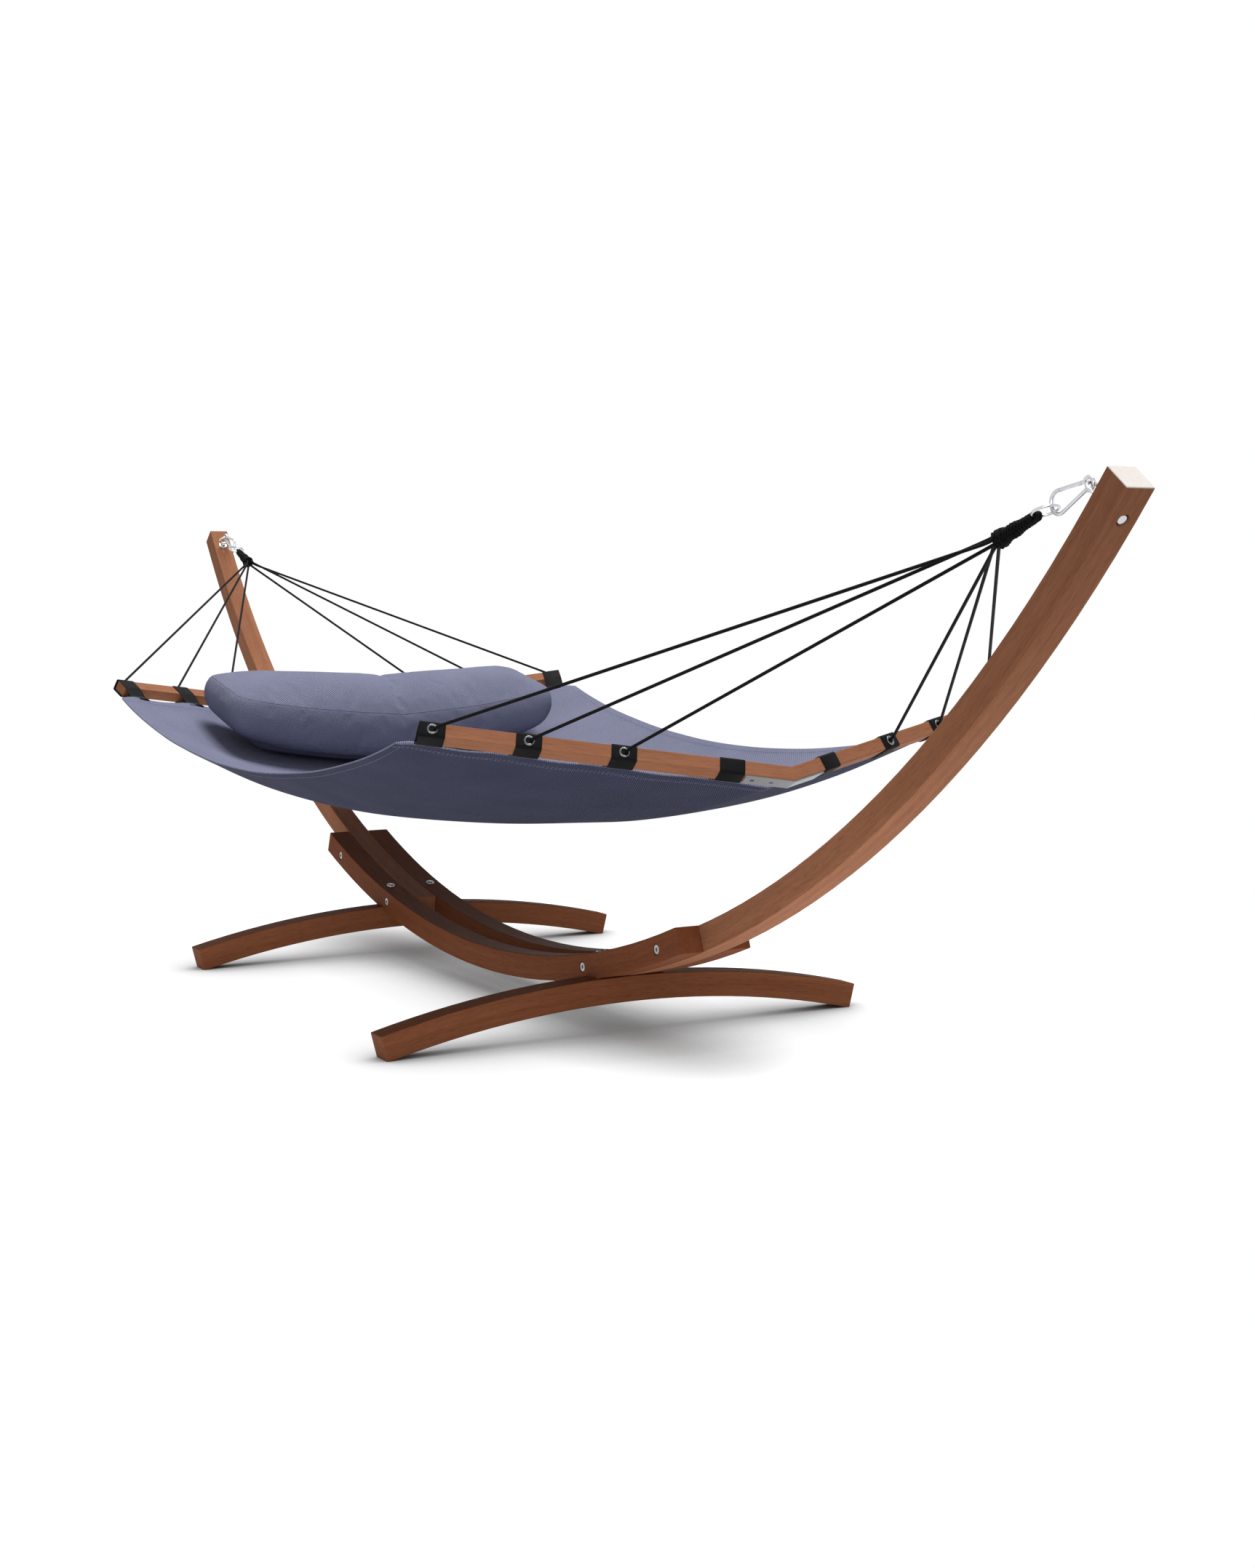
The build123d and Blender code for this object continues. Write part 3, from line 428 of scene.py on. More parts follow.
def webbing():
    """Black ribbed strap webbing."""
    finish = Finish("black_webbing", specular_ior_level=0.08)
    along, across, _ = finish.split(finish.place("UV"))
    rib = (across * (2 * pi / 0.0016)).sine()
    cross = (along * (2 * pi / 0.0022)).sine()
    dust = finish.noise(finish.place(), 60.0, 4.0)
    tone = finish.mix(dust * 0.6 + rib * 0.15, colour(6, 6, 7), colour(17, 17, 18))
    relief = finish.bump(rib * cross, 0.3, 0.0004)
    return finish.feed(base_color=tone, roughness=dust * 0.2 + 0.56, normal=relief)


def braided_cord():
    """Black braided cord: crossing strands in the cord's own measure."""
    finish = Finish("black_braided_cord", specular_ior_level=0.08)
    around, along, _ = finish.split(finish.place("UV"))
    rise = along * (2 * pi / 0.0045)
    first = (around * (2 * pi * 6) + rise).sine()
    second = (around * (2 * pi * 6) - rise).sine()
    strands = finish.maths("MAXIMUM", first, second)
    fuzz = finish.noise(finish.place(), 900.0, 2.0)
    tone = finish.mix(strands * 0.5 + fuzz * 0.4, colour(4, 4, 5), colour(16, 16, 17))
    relief = finish.bump(strands, 0.6, 0.0006)
    return finish.feed(base_color=tone, roughness=fuzz * 0.2 + 0.55, normal=relief)


def sewing_thread():
    """Blue-grey thread with a light twist."""
    finish = Finish("blue_grey_thread", specular_ior_level=0.3)
    x, y, z = finish.split(finish.place())
    twist = ((x + y + z) * (2 * pi / 0.0012)).sine()
    tone = finish.mix(twist * 0.5 + 0.5, colour(84, 88, 116), colour(140, 144, 168))
    return finish.feed(base_color=tone, roughness=twist * 0.08 + 0.6)


def metal(name, tones, grain, rough, stain=None, relief=None, metallic=1.0):
    """Plated metal: two tones, its grain's scale and detail, and its least roughness and the span above it.

    A stain has a scale, a detail, two limits, a strength and a tone. A relief has a scale, a detail, a
    strength and a depth.
    """
    finish = Finish(name, metallic=metallic)
    spot = finish.place()
    fine = finish.noise(spot, *grain)
    tone = finish.mix(fine, *tones)
    if stain:
        scale, detail, low, high, strength, stained = stain
        tone = finish.mix(finish.noise(spot, scale, detail).step(low, high) * strength, tone, stained)
    if relief:
        scale, detail, strength, depth = relief
        finish.feed(normal=finish.bump(finish.noise(spot, scale, detail), strength, depth))
    return finish.feed(base_color=tone, roughness=fine * rough[1] + rough[0])


def bright_steel():
    tones = colour(214, 215, 218), colour(186, 188, 193)
    relief = 1400.0, 1.0, 0.05, 0.0002
    return metal("bright_plated_steel", tones, (90.0, 4.0), (0.10, 0.16), relief=relief)


def dark_nickel():
    stain = 320.0, 3.0, 0.45, 0.75, 1.0, colour(150, 150, 153)
    return metal("dark_nickel", [colour(92, 92, 95)] * 2, (320.0, 3.0), (0.22, 0.20), stain)


def zinc_steel():
    tones = colour(150, 151, 154), colour(182, 183, 186)
    stain = 40.0, 3.0, 0.5, 0.8, 0.5, colour(96, 92, 88)
    return metal("zinc_plated_steel", tones, (260.0, 3.0), (0.28, 0.20), stain)


def grey_plate():
    tones = colour(140, 143, 148), colour(164, 167, 171)
    stain = 55.0, 4.0, 0.58, 0.80, 0.4, colour(188, 190, 193)
    relief = 700.0, 2.0, 0.15, 0.0003
    return metal("dull_grey_plate", tones, (700.0, 2.0), (0.38, 0.20), stain, relief, 0.7)


# Frames of the hammock's parts
def hanging_line():
    """The hanging line's start and its directions along, up and left, at the foot end."""
    slope = radians(LINE_SLOPE)
    along = Vector((-cos(slope), 0.0, -sin(slope)))
    up = Vector((-sin(slope), 0.0, cos(slope)))
    angle = radians(EYE_ANGLE)
    inward = Vector((-sin(angle), 0.0, cos(angle)))
    eye = Vector((BOW_RADIUS * sin(angle), 0.0, BOW_CENTRE_Z - BOW_RADIUS * cos(angle)))
    start = eye + inward * (EYE_STAND_OFF + EYE_RING_RADIUS) + along * HOOK_SLACK
    return start, along, up, Vector((0.0, 1.0, 0.0))


LINE_START, LINE_ALONG, LINE_UP, LINE_LEFT = hanging_line()


def on_line(along, up=0.0, left=0.0):
    return LINE_START + LINE_ALONG * along + LINE_UP * up + LINE_LEFT * left


def bar_frame():
    """The foot end's right bar half: directions along it, out of its eyelet face and up that face."""
    sweep, rise, tilt = [radians(angle) for angle in (BAR_SWEEP, BAR_RISE, BAR_TILT)]
    along = Vector((-cos(rise) * sin(sweep), -cos(rise) * cos(sweep), sin(rise)))
    level = Vector((cos(sweep), -sin(sweep), 0.0))
    face = level * cos(tilt) + along.cross(level) * sin(tilt)
    return along, face, along.cross(face)


BAR_ALONG, BAR_FACE, BAR_UP = bar_frame()

# How far from the middle each strap meets the hem
STRAP_PLACES = [abs(BAR_ALONG.y) * station for station in STRAP_STATIONS]

# The straps' tails behind the bar, in its face and up directions
TAIL = radians(BAR_TILT - STRAP_SLOPE)
TAIL_WAY = Vector((-cos(TAIL), sin(TAIL)))
TAIL_OVER = Vector((sin(TAIL), cos(TAIL)))
BAR_BACK = Vector((-BAR_DEPTH, 0.0))


def bar_point(station, out=0.0, up=0.0):
    """A point beside the foot end's right bar half, from the middle of its eyelet face."""
    return KINK + BAR_ALONG * station + BAR_FACE * out + BAR_UP * up


def quarter(point, end, side):
    """A foot end right-hand point taken to another quarter."""
    return Vector((point.x * end, point.y * side, point.z))


# Meshes
def placed(name, data):
    """A new object in the scene."""
    made = bpy.data.objects.new(name, data)
    bpy.context.scene.collection.objects.link(made)
    return made


def apply_modifiers(made):
    depsgraph = bpy.context.evaluated_depsgraph_get()
    mesh = bpy.data.meshes.new_from_object(made.evaluated_get(depsgraph))
    made.modifiers.clear()
    old, made.data = made.data, mesh
    bpy.data.meshes.remove(old)


class Surface:
    """Points, faces and face-corner measures gathered for one piece."""

    def __init__(self):
        self.points = []
        self.faces = []
        self.measures = []

    def net(self, rows, measures, closed=False, lids=False):
        """Quads over rows of points. A closed net joins each row's ends, and lids cover its end rows."""
        first = len(self.points)
        count = len(rows[0])
        for row in rows:
            self.points.extend(row)
        for i in range(len(rows) - 1):
            for j in range(count if closed else count - 1):
                corners = ((i, j), (i, j + 1), (i + 1, j + 1), (i + 1, j))
                self.faces.append([first + r * count + c % count for r, c in corners])
                self.measures.append([measures(r, c) for r, c in corners])
        for start in (first, len(self.points) - count) if lids else ():
            self.faces.append(list(range(start, start + count)))
            self.measures.append([(0.0, 0.0)] * count)

    def piece(self, name, material):
        mesh = bpy.data.meshes.new(name)
        mesh.from_pydata(self.points, [], self.faces)
        layer = mesh.uv_layers.new(name="measure")
        for polygon, corners in zip(mesh.polygons, self.measures):
            polygon.use_smooth = True
            for loop, corner in zip(polygon.loop_indices, corners):
                layer.data[loop].uv = corner
        turned = bmesh.new()
        turned.from_mesh(mesh)
        bmesh.ops.remove_doubles(turned, verts=turned.verts, dist=1e-6)
        bmesh.ops.recalc_face_normals(turned, faces=turned.faces)
        turned.to_mesh(mesh)
        turned.free()
        mesh.materials.append(material)
        return placed(name, mesh)


def ring_of(centre, across, beside, radius, sides):
    turns = [2 * pi * j / sides for j in range(sides)]
    return [centre + across * (radius * cos(t)) + beside * (radius * sin(t)) for t in turns]


def marks_along(path):
    """How far along a path each of its points is."""
    marks = [0.0]
    for before, after in zip(path, path[1:]):
        marks.append(marks[-1] + (after - before).length)
    return marks


def tube(surface, path, radius, sides=12):
    """A round tube along a path, measured in turns round and metres along. Its radius may vary."""
    heading = (path[1] - path[0]).normalized()
    across = heading.orthogonal().normalized()
    rings = []
    for i, point in enumerate(path):
        before, after = path[max(i - 1, 0)], path[min(i + 1, len(path) - 1)]
        heading = (after - before).normalized()
        across = (across - heading * across.dot(heading)).normalized()
        beside = heading.cross(across)
        reach = radius(i) if callable(radius) else radius
        rings.append(ring_of(point, across, beside, reach, sides))
    marks = marks_along(path)
    surface.net(rings, lambda r, c: (c / sides, marks[r]), closed=True, lids=True)


def smooth_line(route, steps=40):
    """Points of the smooth spline that a route's points control."""
    curve = bpy.data.curves.new("route", "CURVE")
    curve.dimensions = "3D"
    curve.resolution_u = steps
    spline = curve.splines.new("NURBS")
    spline.points.add(len(route) - 1)
    for place, point in zip(spline.points, route):
        place.co = (*point, 1.0)
    spline.order_u = 3
    spline.use_endpoint_u = True
    carrier = bpy.data.objects.new("route", curve)
    mesh = bpy.data.meshes.new_from_object(carrier)
    points = [vertex.co.copy() for vertex in mesh.vertices]
    bpy.data.meshes.remove(mesh)
    bpy.data.objects.remove(carrier)
    bpy.data.curves.remove(curve)
    return points


def settle(piece, body, slot, *nodes):
    """Let a piece ride on a body, in place of any solids that it stands for; the slot is not used."""
    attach(piece, body)
    if nodes:
        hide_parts(*nodes)
    return piece


# Ropes
def rope_route(number, end, side):
    """The points of one rope, from the clew's collar to its stop knot behind the bar."""
    left, up = ROPE_STARTS[number]
    station = ROPE_STATIONS[number]
    start = on_line(CLEW_END, up, left)
    lead = on_line(CLEW_END + ROPE_LEAD, up, left)
    corner = bar_point(station, ROPE_BEND_HEIGHT)
    stop = bar_point(station, -BAR_DEPTH)
    run = (corner - lead).normalized()
    route = [start, lead, lead + run * ROPE_STRAIGHT, corner - run * ROPE_STRAIGHT, corner, stop]
    return [quarter(point, end, side) for point in route]


def ropes(material):
    for quarter_name, end, side in QUARTERS:
        for number, length in enumerate(ROPE_LENGTHS):
            route = rope_route(number, end, side)
            path = smooth_line(route)
            surface = Surface()
            tube(surface, path, ROPE / 2)
            name = f"rope_{number + 1}_{quarter_name}"
            rope = settle(surface.piece(f"braided_{name}", material), "hammock", "rope", name)


# Clews
def clew_width(along):
    """The radius of the braided clew's middle line, from its head to its collar."""
    share = max(0.0, (along - CLEW_HEAD) / (CLEW_END - CLEW_HEAD))
    swell = BRAID_SWELL * sin(share * pi * 5.0)
    return BRAID_WAIST + BRAID_SPREAD * share**BRAID_SPREAD_POWER + swell * share


def clew_loop(left):
    """A strand's loop round the ring."""
    points = [on_line(CLEW_HEAD + LOOP_TAIL, LOOP_RADIUS, left)]
    for step in range(17):
        turn = pi / 2 + pi * step / 16
        along = RING_FAR_WIRE - LOOP_SEAT + LOOP_RADIUS * cos(turn)
        points.append(on_line(along, LOOP_RADIUS * sin(turn), left))
    points.append(on_line(CLEW_HEAD + LOOP_TAIL, -LOOP_RADIUS, left))
    return points


def clew_strand(strand, way, stations):
    """One strand of the braid, which passes over and under those that turn the other way."""
    turns = 2 * pi * BRAID_TURNS / (CLEW_END - CLEW_HEAD)
    points = []
    for along in stations:
        run = along - CLEW_HEAD
        angle = 2 * pi * strand / BRAID_STRANDS + way * turns * run
        reach = clew_width(along) + way * BRAID_OVER * cos(BRAID_STRANDS * turns * run)
        points.append(on_line(along, reach * sin(angle), reach * cos(angle)))
    return points


def clew_winding(first, last, reach, count):
    """A cord wound round the clew a few times, a little unevenly."""
    points = []
    for step in range(61):
        share = step / 60
        angle = share * count * 2 * pi
        along = first + (last - first) * share + WINDING_WOBBLE * sin(3 * angle)
        points.append(on_line(along, reach * sin(angle), reach * cos(angle)))
    return points


def clews(material):
    length = CLEW_END - CLEW_HEAD
    stations = [CLEW_HEAD - BRAID_START + length * i / BRAID_STEPS for i in range(BRAID_STEPS + 1)]
    core = stations[::10]
    cords = [(clew_loop(left), LOOP_CORD, 10) for left in (-LOOP_SIDE, LOOP_SIDE)]
    for way in (-1, 1):
        for strand in range(BRAID_STRANDS):
            cords.append((clew_strand(strand, way, stations), BRAID_CORD, 8))
    core_line = [on_line(along) for along in core]
    cords.append((core_line, lambda i: clew_width(core[i]) - BRAID_CORE_INSET, 14))
    cords += [(clew_winding(*winding), WINDING_CORD, 8) for winding in WINDINGS]
    for end_name, end in ENDS:
        surface = Surface()
        for points, radius, sides in cords:
            tube(surface, [quarter(point, end, 1) for point in points], radius, sides)
        clew = surface.piece(f"knotted_clew_{end_name}", material)
        settle(clew, "hammock", "rope", f"clew_{end_name}", f"clew_whipping_{end_name}")


# Sling
def hem_line(across):
    """The hem's x and z at a distance from the middle."""
    start = bar_point(0.0, *(BAR_BACK + TAIL_WAY * HEM_REACH))
    hem = start + BAR_ALONG * ((-abs(across) - start.y) / BAR_ALONG.y)
    return hem.x, hem.z


def strap_phase(across):
    """How far between two straps a place along the hem is: 0 at one and 1 at the next."""
    places = [-STRAP_PLACES[0], *STRAP_PLACES, SLING_HALF_WIDTH + PULL_PAST_SIDE]
    for first, second in zip(places, places[1:]):
        if abs(across) < second:
            return (abs(across) - first) / (second - first)
    return 0.0


def bed_height(x, across):
    """The height of the sling's middle surface."""
    hem_x, hem_z = hem_line(across)
    share, out = abs(x / hem_x), min(abs(across) / SLING_HALF_WIDTH, 1.0)
    low = SLING_LOW + (SLING_EDGE_LOW - SLING_LOW) * out**SLING_TROUGH
    rise = SLING_RISE + (SLING_EDGE_RISE - SLING_RISE) * out**2
    swell = share**SLING_BELLY_POWER
    fullness = 1 - ((out - SLING_BELLY_MIDDLE) / SLING_BELLY_REACH) ** 2
    belly = 4 * swell * (1 - swell) * fullness * SLING_BELLY
    folds = 0.0
    for depth, run, over, seed in SLING_FOLDS:
        folds += depth * noise.noise(Vector((x * run, across * over, seed)))
    pulls = PULL_DEPTH * (1 - cos(2 * pi * strap_phase(across))) / 2 * share**14
    return low + (hem_z - low) * share**rise - belly + folds * (1 - share**8) - pulls


def spaced(half, hem, step):
    """Places from one edge to the other, close together over the hems."""
    edge = [*HEM_EDGE, *(hem + fold for fold in HEM_FOLD)]
    inner = half - edge[-1]
    count = ceil(inner / step)
    places = [half - e for e in edge] + [inner * (1 - i / count) for i in range(1, count)]
    return [-p for p in places] + [0.0] + places[::-1]


def sling_thickness(to_hem, to_side, across):
    """The cloth's thickness: doubled in the hems, fuller where a strap is tucked in."""
    doubled = max(1 - to_hem / BAR_HEM_WIDTH, 0.0) ** 0.2
    doubled = max(doubled, 0.8 if to_side < SIDE_HEM_WIDTH else 0.0)
    strap = min(abs(abs(across) - place) for place in STRAP_PLACES)
    tucked = max(0.0, 1 - (strap / (0.62 * STRAP_WIDTH)) ** 4) if to_hem < STRAP_TUCK + 0.004 else 0.0
    return CLOTH * (1 + 0.8 * doubled + 1.5 * tucked)


def sling_point(lengthwise, across):
    """A point of the sling's middle surface, from its share of the way to a hem."""
    hem_x, _ = hem_line(across)
    x = lengthwise * hem_x
    return Vector((x, across, bed_height(x, across)))


def sling_spot(lengthwise, across):
    """A point of the sling with its normal and its thickness."""
    small = 0.002
    point = sling_point(lengthwise, across)
    down = sling_point(lengthwise + small, across) - sling_point(lengthwise - small, across)
    over = sling_point(lengthwise, across + small) - sling_point(lengthwise, across - small)
    hem_x, _ = hem_line(across)
    thickness = sling_thickness(hem_x * (1 - abs(lengthwise)), SLING_HALF_WIDTH - abs(across), across)
    return point, down.cross(over).normalized(), thickness


def sling(material):
    middle = hem_line(0.0)[0]
    lengths = [place / middle for place in spaced(middle, BAR_HEM_WIDTH, 0.020)]
    widths = spaced(SLING_HALF_WIDTH, SIDE_HEM_WIDTH, 0.018)
    spots = [[sling_spot(a, b) for b in widths] for a in lengths]
    upper = [[point + normal * (thick / 2) for point, normal, thick in row] for row in spots]
    lower = [[point - normal * (thick / 2) for point, normal, thick in row] for row in spots]
    surface = Surface()

    def flat(row, column, face=0.0):
        return (lengths[row] * middle, widths[column] + face)

    surface.net(upper, flat)
    surface.net(lower, lambda r, c: flat(r, c, OUTER_FACE))
    border = [(0, j) for j in range(len(widths))]
    border += [(i, len(widths) - 1) for i in range(1, len(lengths))]
    border += [(len(lengths) - 1, j) for j in range(len(widths) - 2, -1, -1)]
    border += [(i, 0) for i in range(len(lengths) - 2, -1, -1)]
    rim = [[upper[i][j] for i, j in border], [lower[i][j] for i, j in border]]
    surface.net(rim, lambda r, c: flat(*border[c]))
    return settle(surface.piece("twill_sling", material), "hammock", "sling_cloth", "sling")


def sling_flat():
    """The sling's width, length and area laid flat, from its cross and lengthwise runs over the bed."""
    shares = [step / 60 - 1 for step in range(121)]

    def run(points):
        return marks_along(points)[-1]

    width = run([sling_point(0.0, share * SLING_HALF_WIDTH) for share in shares])
    lengths = []
    for share in shares[::4]:
        lengths.append(run([sling_point(along, share * SLING_HALF_WIDTH) for along in shares]))
    return width, max(lengths), width * sum(lengths) / len(lengths)


def stitch_tree(material):
    """A node tree that sews a row of stitches along the edges of a path."""
    tree = bpy.data.node_groups.new("stitch_row", "GeometryNodeTree")
    kinds = {"Path": "NodeSocketGeometry", **{name: "NodeSocketFloat" for name in STITCH_SIZES}}
    for name, kind in kinds.items():
        tree.interface.new_socket(name, in_out="INPUT", socket_type=kind)
    tree.interface.new_socket("Stitches", in_out="OUTPUT", socket_type="NodeSocketGeometry")
    sewing = Graph(tree)
    path, pitch, length, thickness = [sewing.node("NodeGroupInput", out=name) for name in kinds]
    curve = sewing.node("GeometryNodeMeshToCurve", values={"Mesh": path})
    points = sewing.node("GeometryNodeCurveToPoints", {"mode": "LENGTH"}, {"Curve": curve, "Length": pitch})
    thread = sewing.node("GeometryNodeMeshUVSphere", values={"Segments": 6, "Rings": 5, "Radius": 0.5})
    values = {
        "Points": points,
        "Instance": thread,
        "Rotation": Wire(sewing, points.socket.node.outputs["Rotation"]),
        "Scale": sewing.join(thickness, thickness, length),
    }
    stitches = sewing.node("GeometryNodeInstanceOnPoints", values=values)
    for kind in ("RealizeInstances", "SetShadeSmooth", "SetMaterial"):
        stitches = sewing.node(f"GeometryNode{kind}", values={"Geometry": stitches})
    stitches.socket.node.inputs["Material"].default_value = material
    sewing.put(tree.nodes.new("NodeGroupOutput").inputs["Stitches"], stitches)
    return tree


def sew(name, tree, paths, body, slot, stitch):
    """Stitches of a pitch, a length and a thickness along several open paths, as one plain mesh."""
    points, edges = [], []
    for path in paths:
        edges += [(len(points) + i, len(points) + i + 1) for i in range(len(path) - 1)]
        points += path
    mesh = bpy.data.meshes.new(name)
    mesh.from_pydata(points, edges, [])
    made = placed(name, mesh)
    rule = made.modifiers.new("stitches", "NODES")
    rule.node_group = tree
    sizes = dict(zip(STITCH_SIZES, stitch))
    for item in tree.interface.items_tree:
        if item.name in sizes:
            rule[item.identifier] = sizes[item.name]
    apply_modifiers(made)
    return settle(made, body, slot)


def sling_rows():
    """Paths of the sling's stitch rows, on both faces of the cloth."""
    rows = []
    middle = hem_line(0.0)[0]
    for face in (-1, 1):

        def stitched(spots):
            row = []
            for lengthwise, across in spots:
                point, normal, thick = sling_spot(lengthwise, across)
                row.append(point + normal * (face * (thick / 2 + SLING_STITCH_LIFT)))
            rows.append(row)

        width = SLING_HALF_WIDTH - SLING_SEAM_INSET
        for end in (-1, 1):
            for inset in HEM_STITCHES:
                share = end * (1 - (BAR_HEM_WIDTH - inset) / middle)
                stitched([(share, width * (step / 100 - 1)) for step in range(201)])
        side_seam = SLING_HALF_WIDTH - SIDE_HEM_WIDTH + HEM_STITCHES[0]
        for side in (-1, 1):
            stitched([(SIDE_SEAM_SHARE * (step / 150 - 1), side * side_seam) for step in range(301)])
    return rows


# Straps
def strap_outline(end_reach):
    """The strap's middle line round the bar, in the bar's face and up directions, with rounded corners."""
    over = TAIL_OVER * (STRAP / 2)
    half = BAR_HEIGHT / 2 + STRAP_PLAY + STRAP / 2
    front = STRAP_PLAY + STRAP / 2
    rear = -BAR_DEPTH - STRAP_PLAY
    corners = [
        BAR_BACK + TAIL_WAY * end_reach - over,
        BAR_BACK + TAIL_WAY * STRAP_JOIN - over,
        Vector((rear, -half)),
        Vector((front, -half)),
        Vector((front, half)),
        Vector((rear, half)),
        BAR_BACK + TAIL_WAY * STRAP_JOIN + over,
        BAR_BACK + TAIL_WAY * end_reach + over,
    ]
    line = [corners[0]]
    for before, corner, after in zip(corners, corners[1:], corners[2:]):
        inward, outward = (before - corner), (after - corner)
        cut = min(STRAP_ROUND * 1.6, inward.length * 0.45, outward.length * 0.45)
        start, stop = corner + inward.normalized() * cut, corner + outward.normalized() * cut
        for step in range(7):
            share = step / 6
            line.append(start * (1 - share) ** 2 + corner * (2 * share * (1 - share)) + stop * share**2)
    line.append(corners[-1])
    return line


def strap_band(surface, station, end, side):
    """One strap: a band of webbing with softly rounded edges, wrapped round the bar."""
    line = strap_outline(HEM_REACH + STRAP_TUCK - 0.004)
    marks = marks_along(line)
    edge = STRAP / 2
    across = [-STRAP_WIDTH / 2, -STRAP_WIDTH / 2 + edge, 0.0, STRAP_WIDTH / 2 - edge, STRAP_WIDTH / 2]
    full = [0.35, 1.0, 1.0, 1.0, 0.35]
    rows = []
    for i, spot in enumerate(line):
        heading = (line[min(i + 1, len(line) - 1)] - line[max(i - 1, 0)]).normalized()
        out = Vector((heading.y, -heading.x))
        ring = []
        for face, order in ((1, range(5)), (-1, range(4, -1, -1))):
            for j in order:
                place = spot + out * (face * edge * full[j])
                ring.append(quarter(bar_point(station + across[j], place.x, place.y), end, side))
        rows.append(ring)
    places = across + across[::-1]
    surface.net(rows, lambda r, c: (marks[r], places[c % len(places)]), closed=True, lids=True)


def strap_seam(station, end, side):
    """Stitch rows that close the strap behind the bar, on its upper and lower faces."""
    rows = []
    for face in (-1, 1):
        over = TAIL_OVER * (face * (STRAP + STRAP_STITCH_LIFT))
        for seam in STRAP_SEAMS:
            spot = BAR_BACK + TAIL_WAY * (STRAP_JOIN + seam) + over
            half = STRAP_WIDTH / 2 - STRAP_SEAM_INSET
            ends = [bar_point(station + way * half, spot.x, spot.y) for way in (-1, 1)]
            rows.append([quarter(point, end, side) for point in ends])
    return rows


def straps(material, thread_tree):
    for quarter_name, end, side in QUARTERS:
        surface = Surface()
        rows = []
        for station in STRAP_STATIONS:
            strap_band(surface, station, end, side)
            rows += strap_seam(station, end, side)
        name = f"straps_{quarter_name}"
        settle(surface.piece(f"webbing_{name}", material), "hammock", "strap_webbing", name)
        sew(f"seams_{name}", thread_tree, rows, "hammock", "strap_webbing", STRAP_STITCH)


# Eyelets and stop knots
def lathe(surface, profile, centre, axis, across, sides=28):
    """A turned ring: its profile is (radius, height) along the axis, closed on itself."""
    beside = axis.cross(across)
    rows = []
    for radius, height in profile + profile[:1]:
        rows.append(ring_of(centre + axis * height, across, beside, radius, sides))
    surface.net(rows, lambda r, c: (c / sides, r * 0.001), closed=True)


def eyelets(material):
    """Rolled grommets in the straps' front faces."""
    half = (EYELET_FLANGE - EYELET_BORE) / 2
    profile = []
    for step in range(9):
        turn = pi * step / 8
        profile.append((EYELET_BORE + half - half * cos(turn), EYELET_SEAT + EYELET_ROLL * sin(turn)))
    inner = EYELET_BORE + EYELET_WALL
    profile += [(EYELET_FLANGE - 0.0004, EYELET_SEAT - 0.0001), (inner, EYELET_SEAT - 0.0001)]
    profile += [(inner, -EYELET_DEPTH), (EYELET_BORE, -EYELET_DEPTH)]
    for end_name, end in ENDS:
        surface = Surface()
        for _, side in SIDES:
            for station in ROPE_STATIONS:
                centre = quarter(bar_point(station), end, side)
                axis = quarter(BAR_FACE, end, side)
                lathe(surface, profile, centre, axis, quarter(BAR_ALONG, end, side))
        rings = surface.piece(f"grommets_{end_name}", material)
        settle(rings, "hammock", "bright_steel", f"eyelets_{end_name}")


def stop_knots(material):
    """Overhand stop knots: a short winding round each rope end, behind the bar."""
    for end_name, end in ENDS:
        surface = Surface()
        for _, side in SIDES:
            for station in ROPE_STATIONS:
                points = []
                for step in range(49):
                    share = step / 48
                    turn = 2 * pi * KNOT_TURNS * share
                    swell = KNOT_RADIUS + KNOT_SWELL * sin(pi * share)
                    depth = -BAR_DEPTH - KNOT_START - KNOT_LENGTH * share
                    spot = bar_point(station, depth, swell * sin(turn)) + BAR_ALONG * (swell * cos(turn))
                    points.append(quarter(spot, end, side))
                tube(surface, points, KNOT_CORD, 8)
        knots = surface.piece(f"overhand_knots_{end_name}", material)
        settle(knots, "hammock", "rope", f"rope_knots_{end_name}")


# Pillow
def pillow_share(along):
    """How far along the pillow a place is, squared, from 0 in the middle to 1 at the ends."""
    return min(abs(along) / PILLOW_HALF_LENGTH, 1.0) ** 2


def pillow_place(along, out, wall, crown):
    """A pillow point: along its length, out across it, and up by shares of the wall and the crown."""
    share = pillow_share(along)
    height = wall * (PILLOW_WALL + (PILLOW_END_WALL - PILLOW_WALL) * share)
    height += crown * (PILLOW_CROWN + (PILLOW_END_CROWN - PILLOW_CROWN) * share)
    tilt = radians(PILLOW_TILT)
    x = PILLOW_X + out * cos(tilt) + height * sin(tilt)
    leaning = bed_height(PILLOW_X, along) - out * sin(tilt) + height * cos(tilt)
    lying = bed_height(x, along) + height * cos(tilt)
    blend = max(0.0, 1 - wall / 0.45) ** 2
    z = leaning + (lying - leaning) * blend
    return Vector((x, along, max(z, bed_height(x, along)) + PILLOW_LIFT))


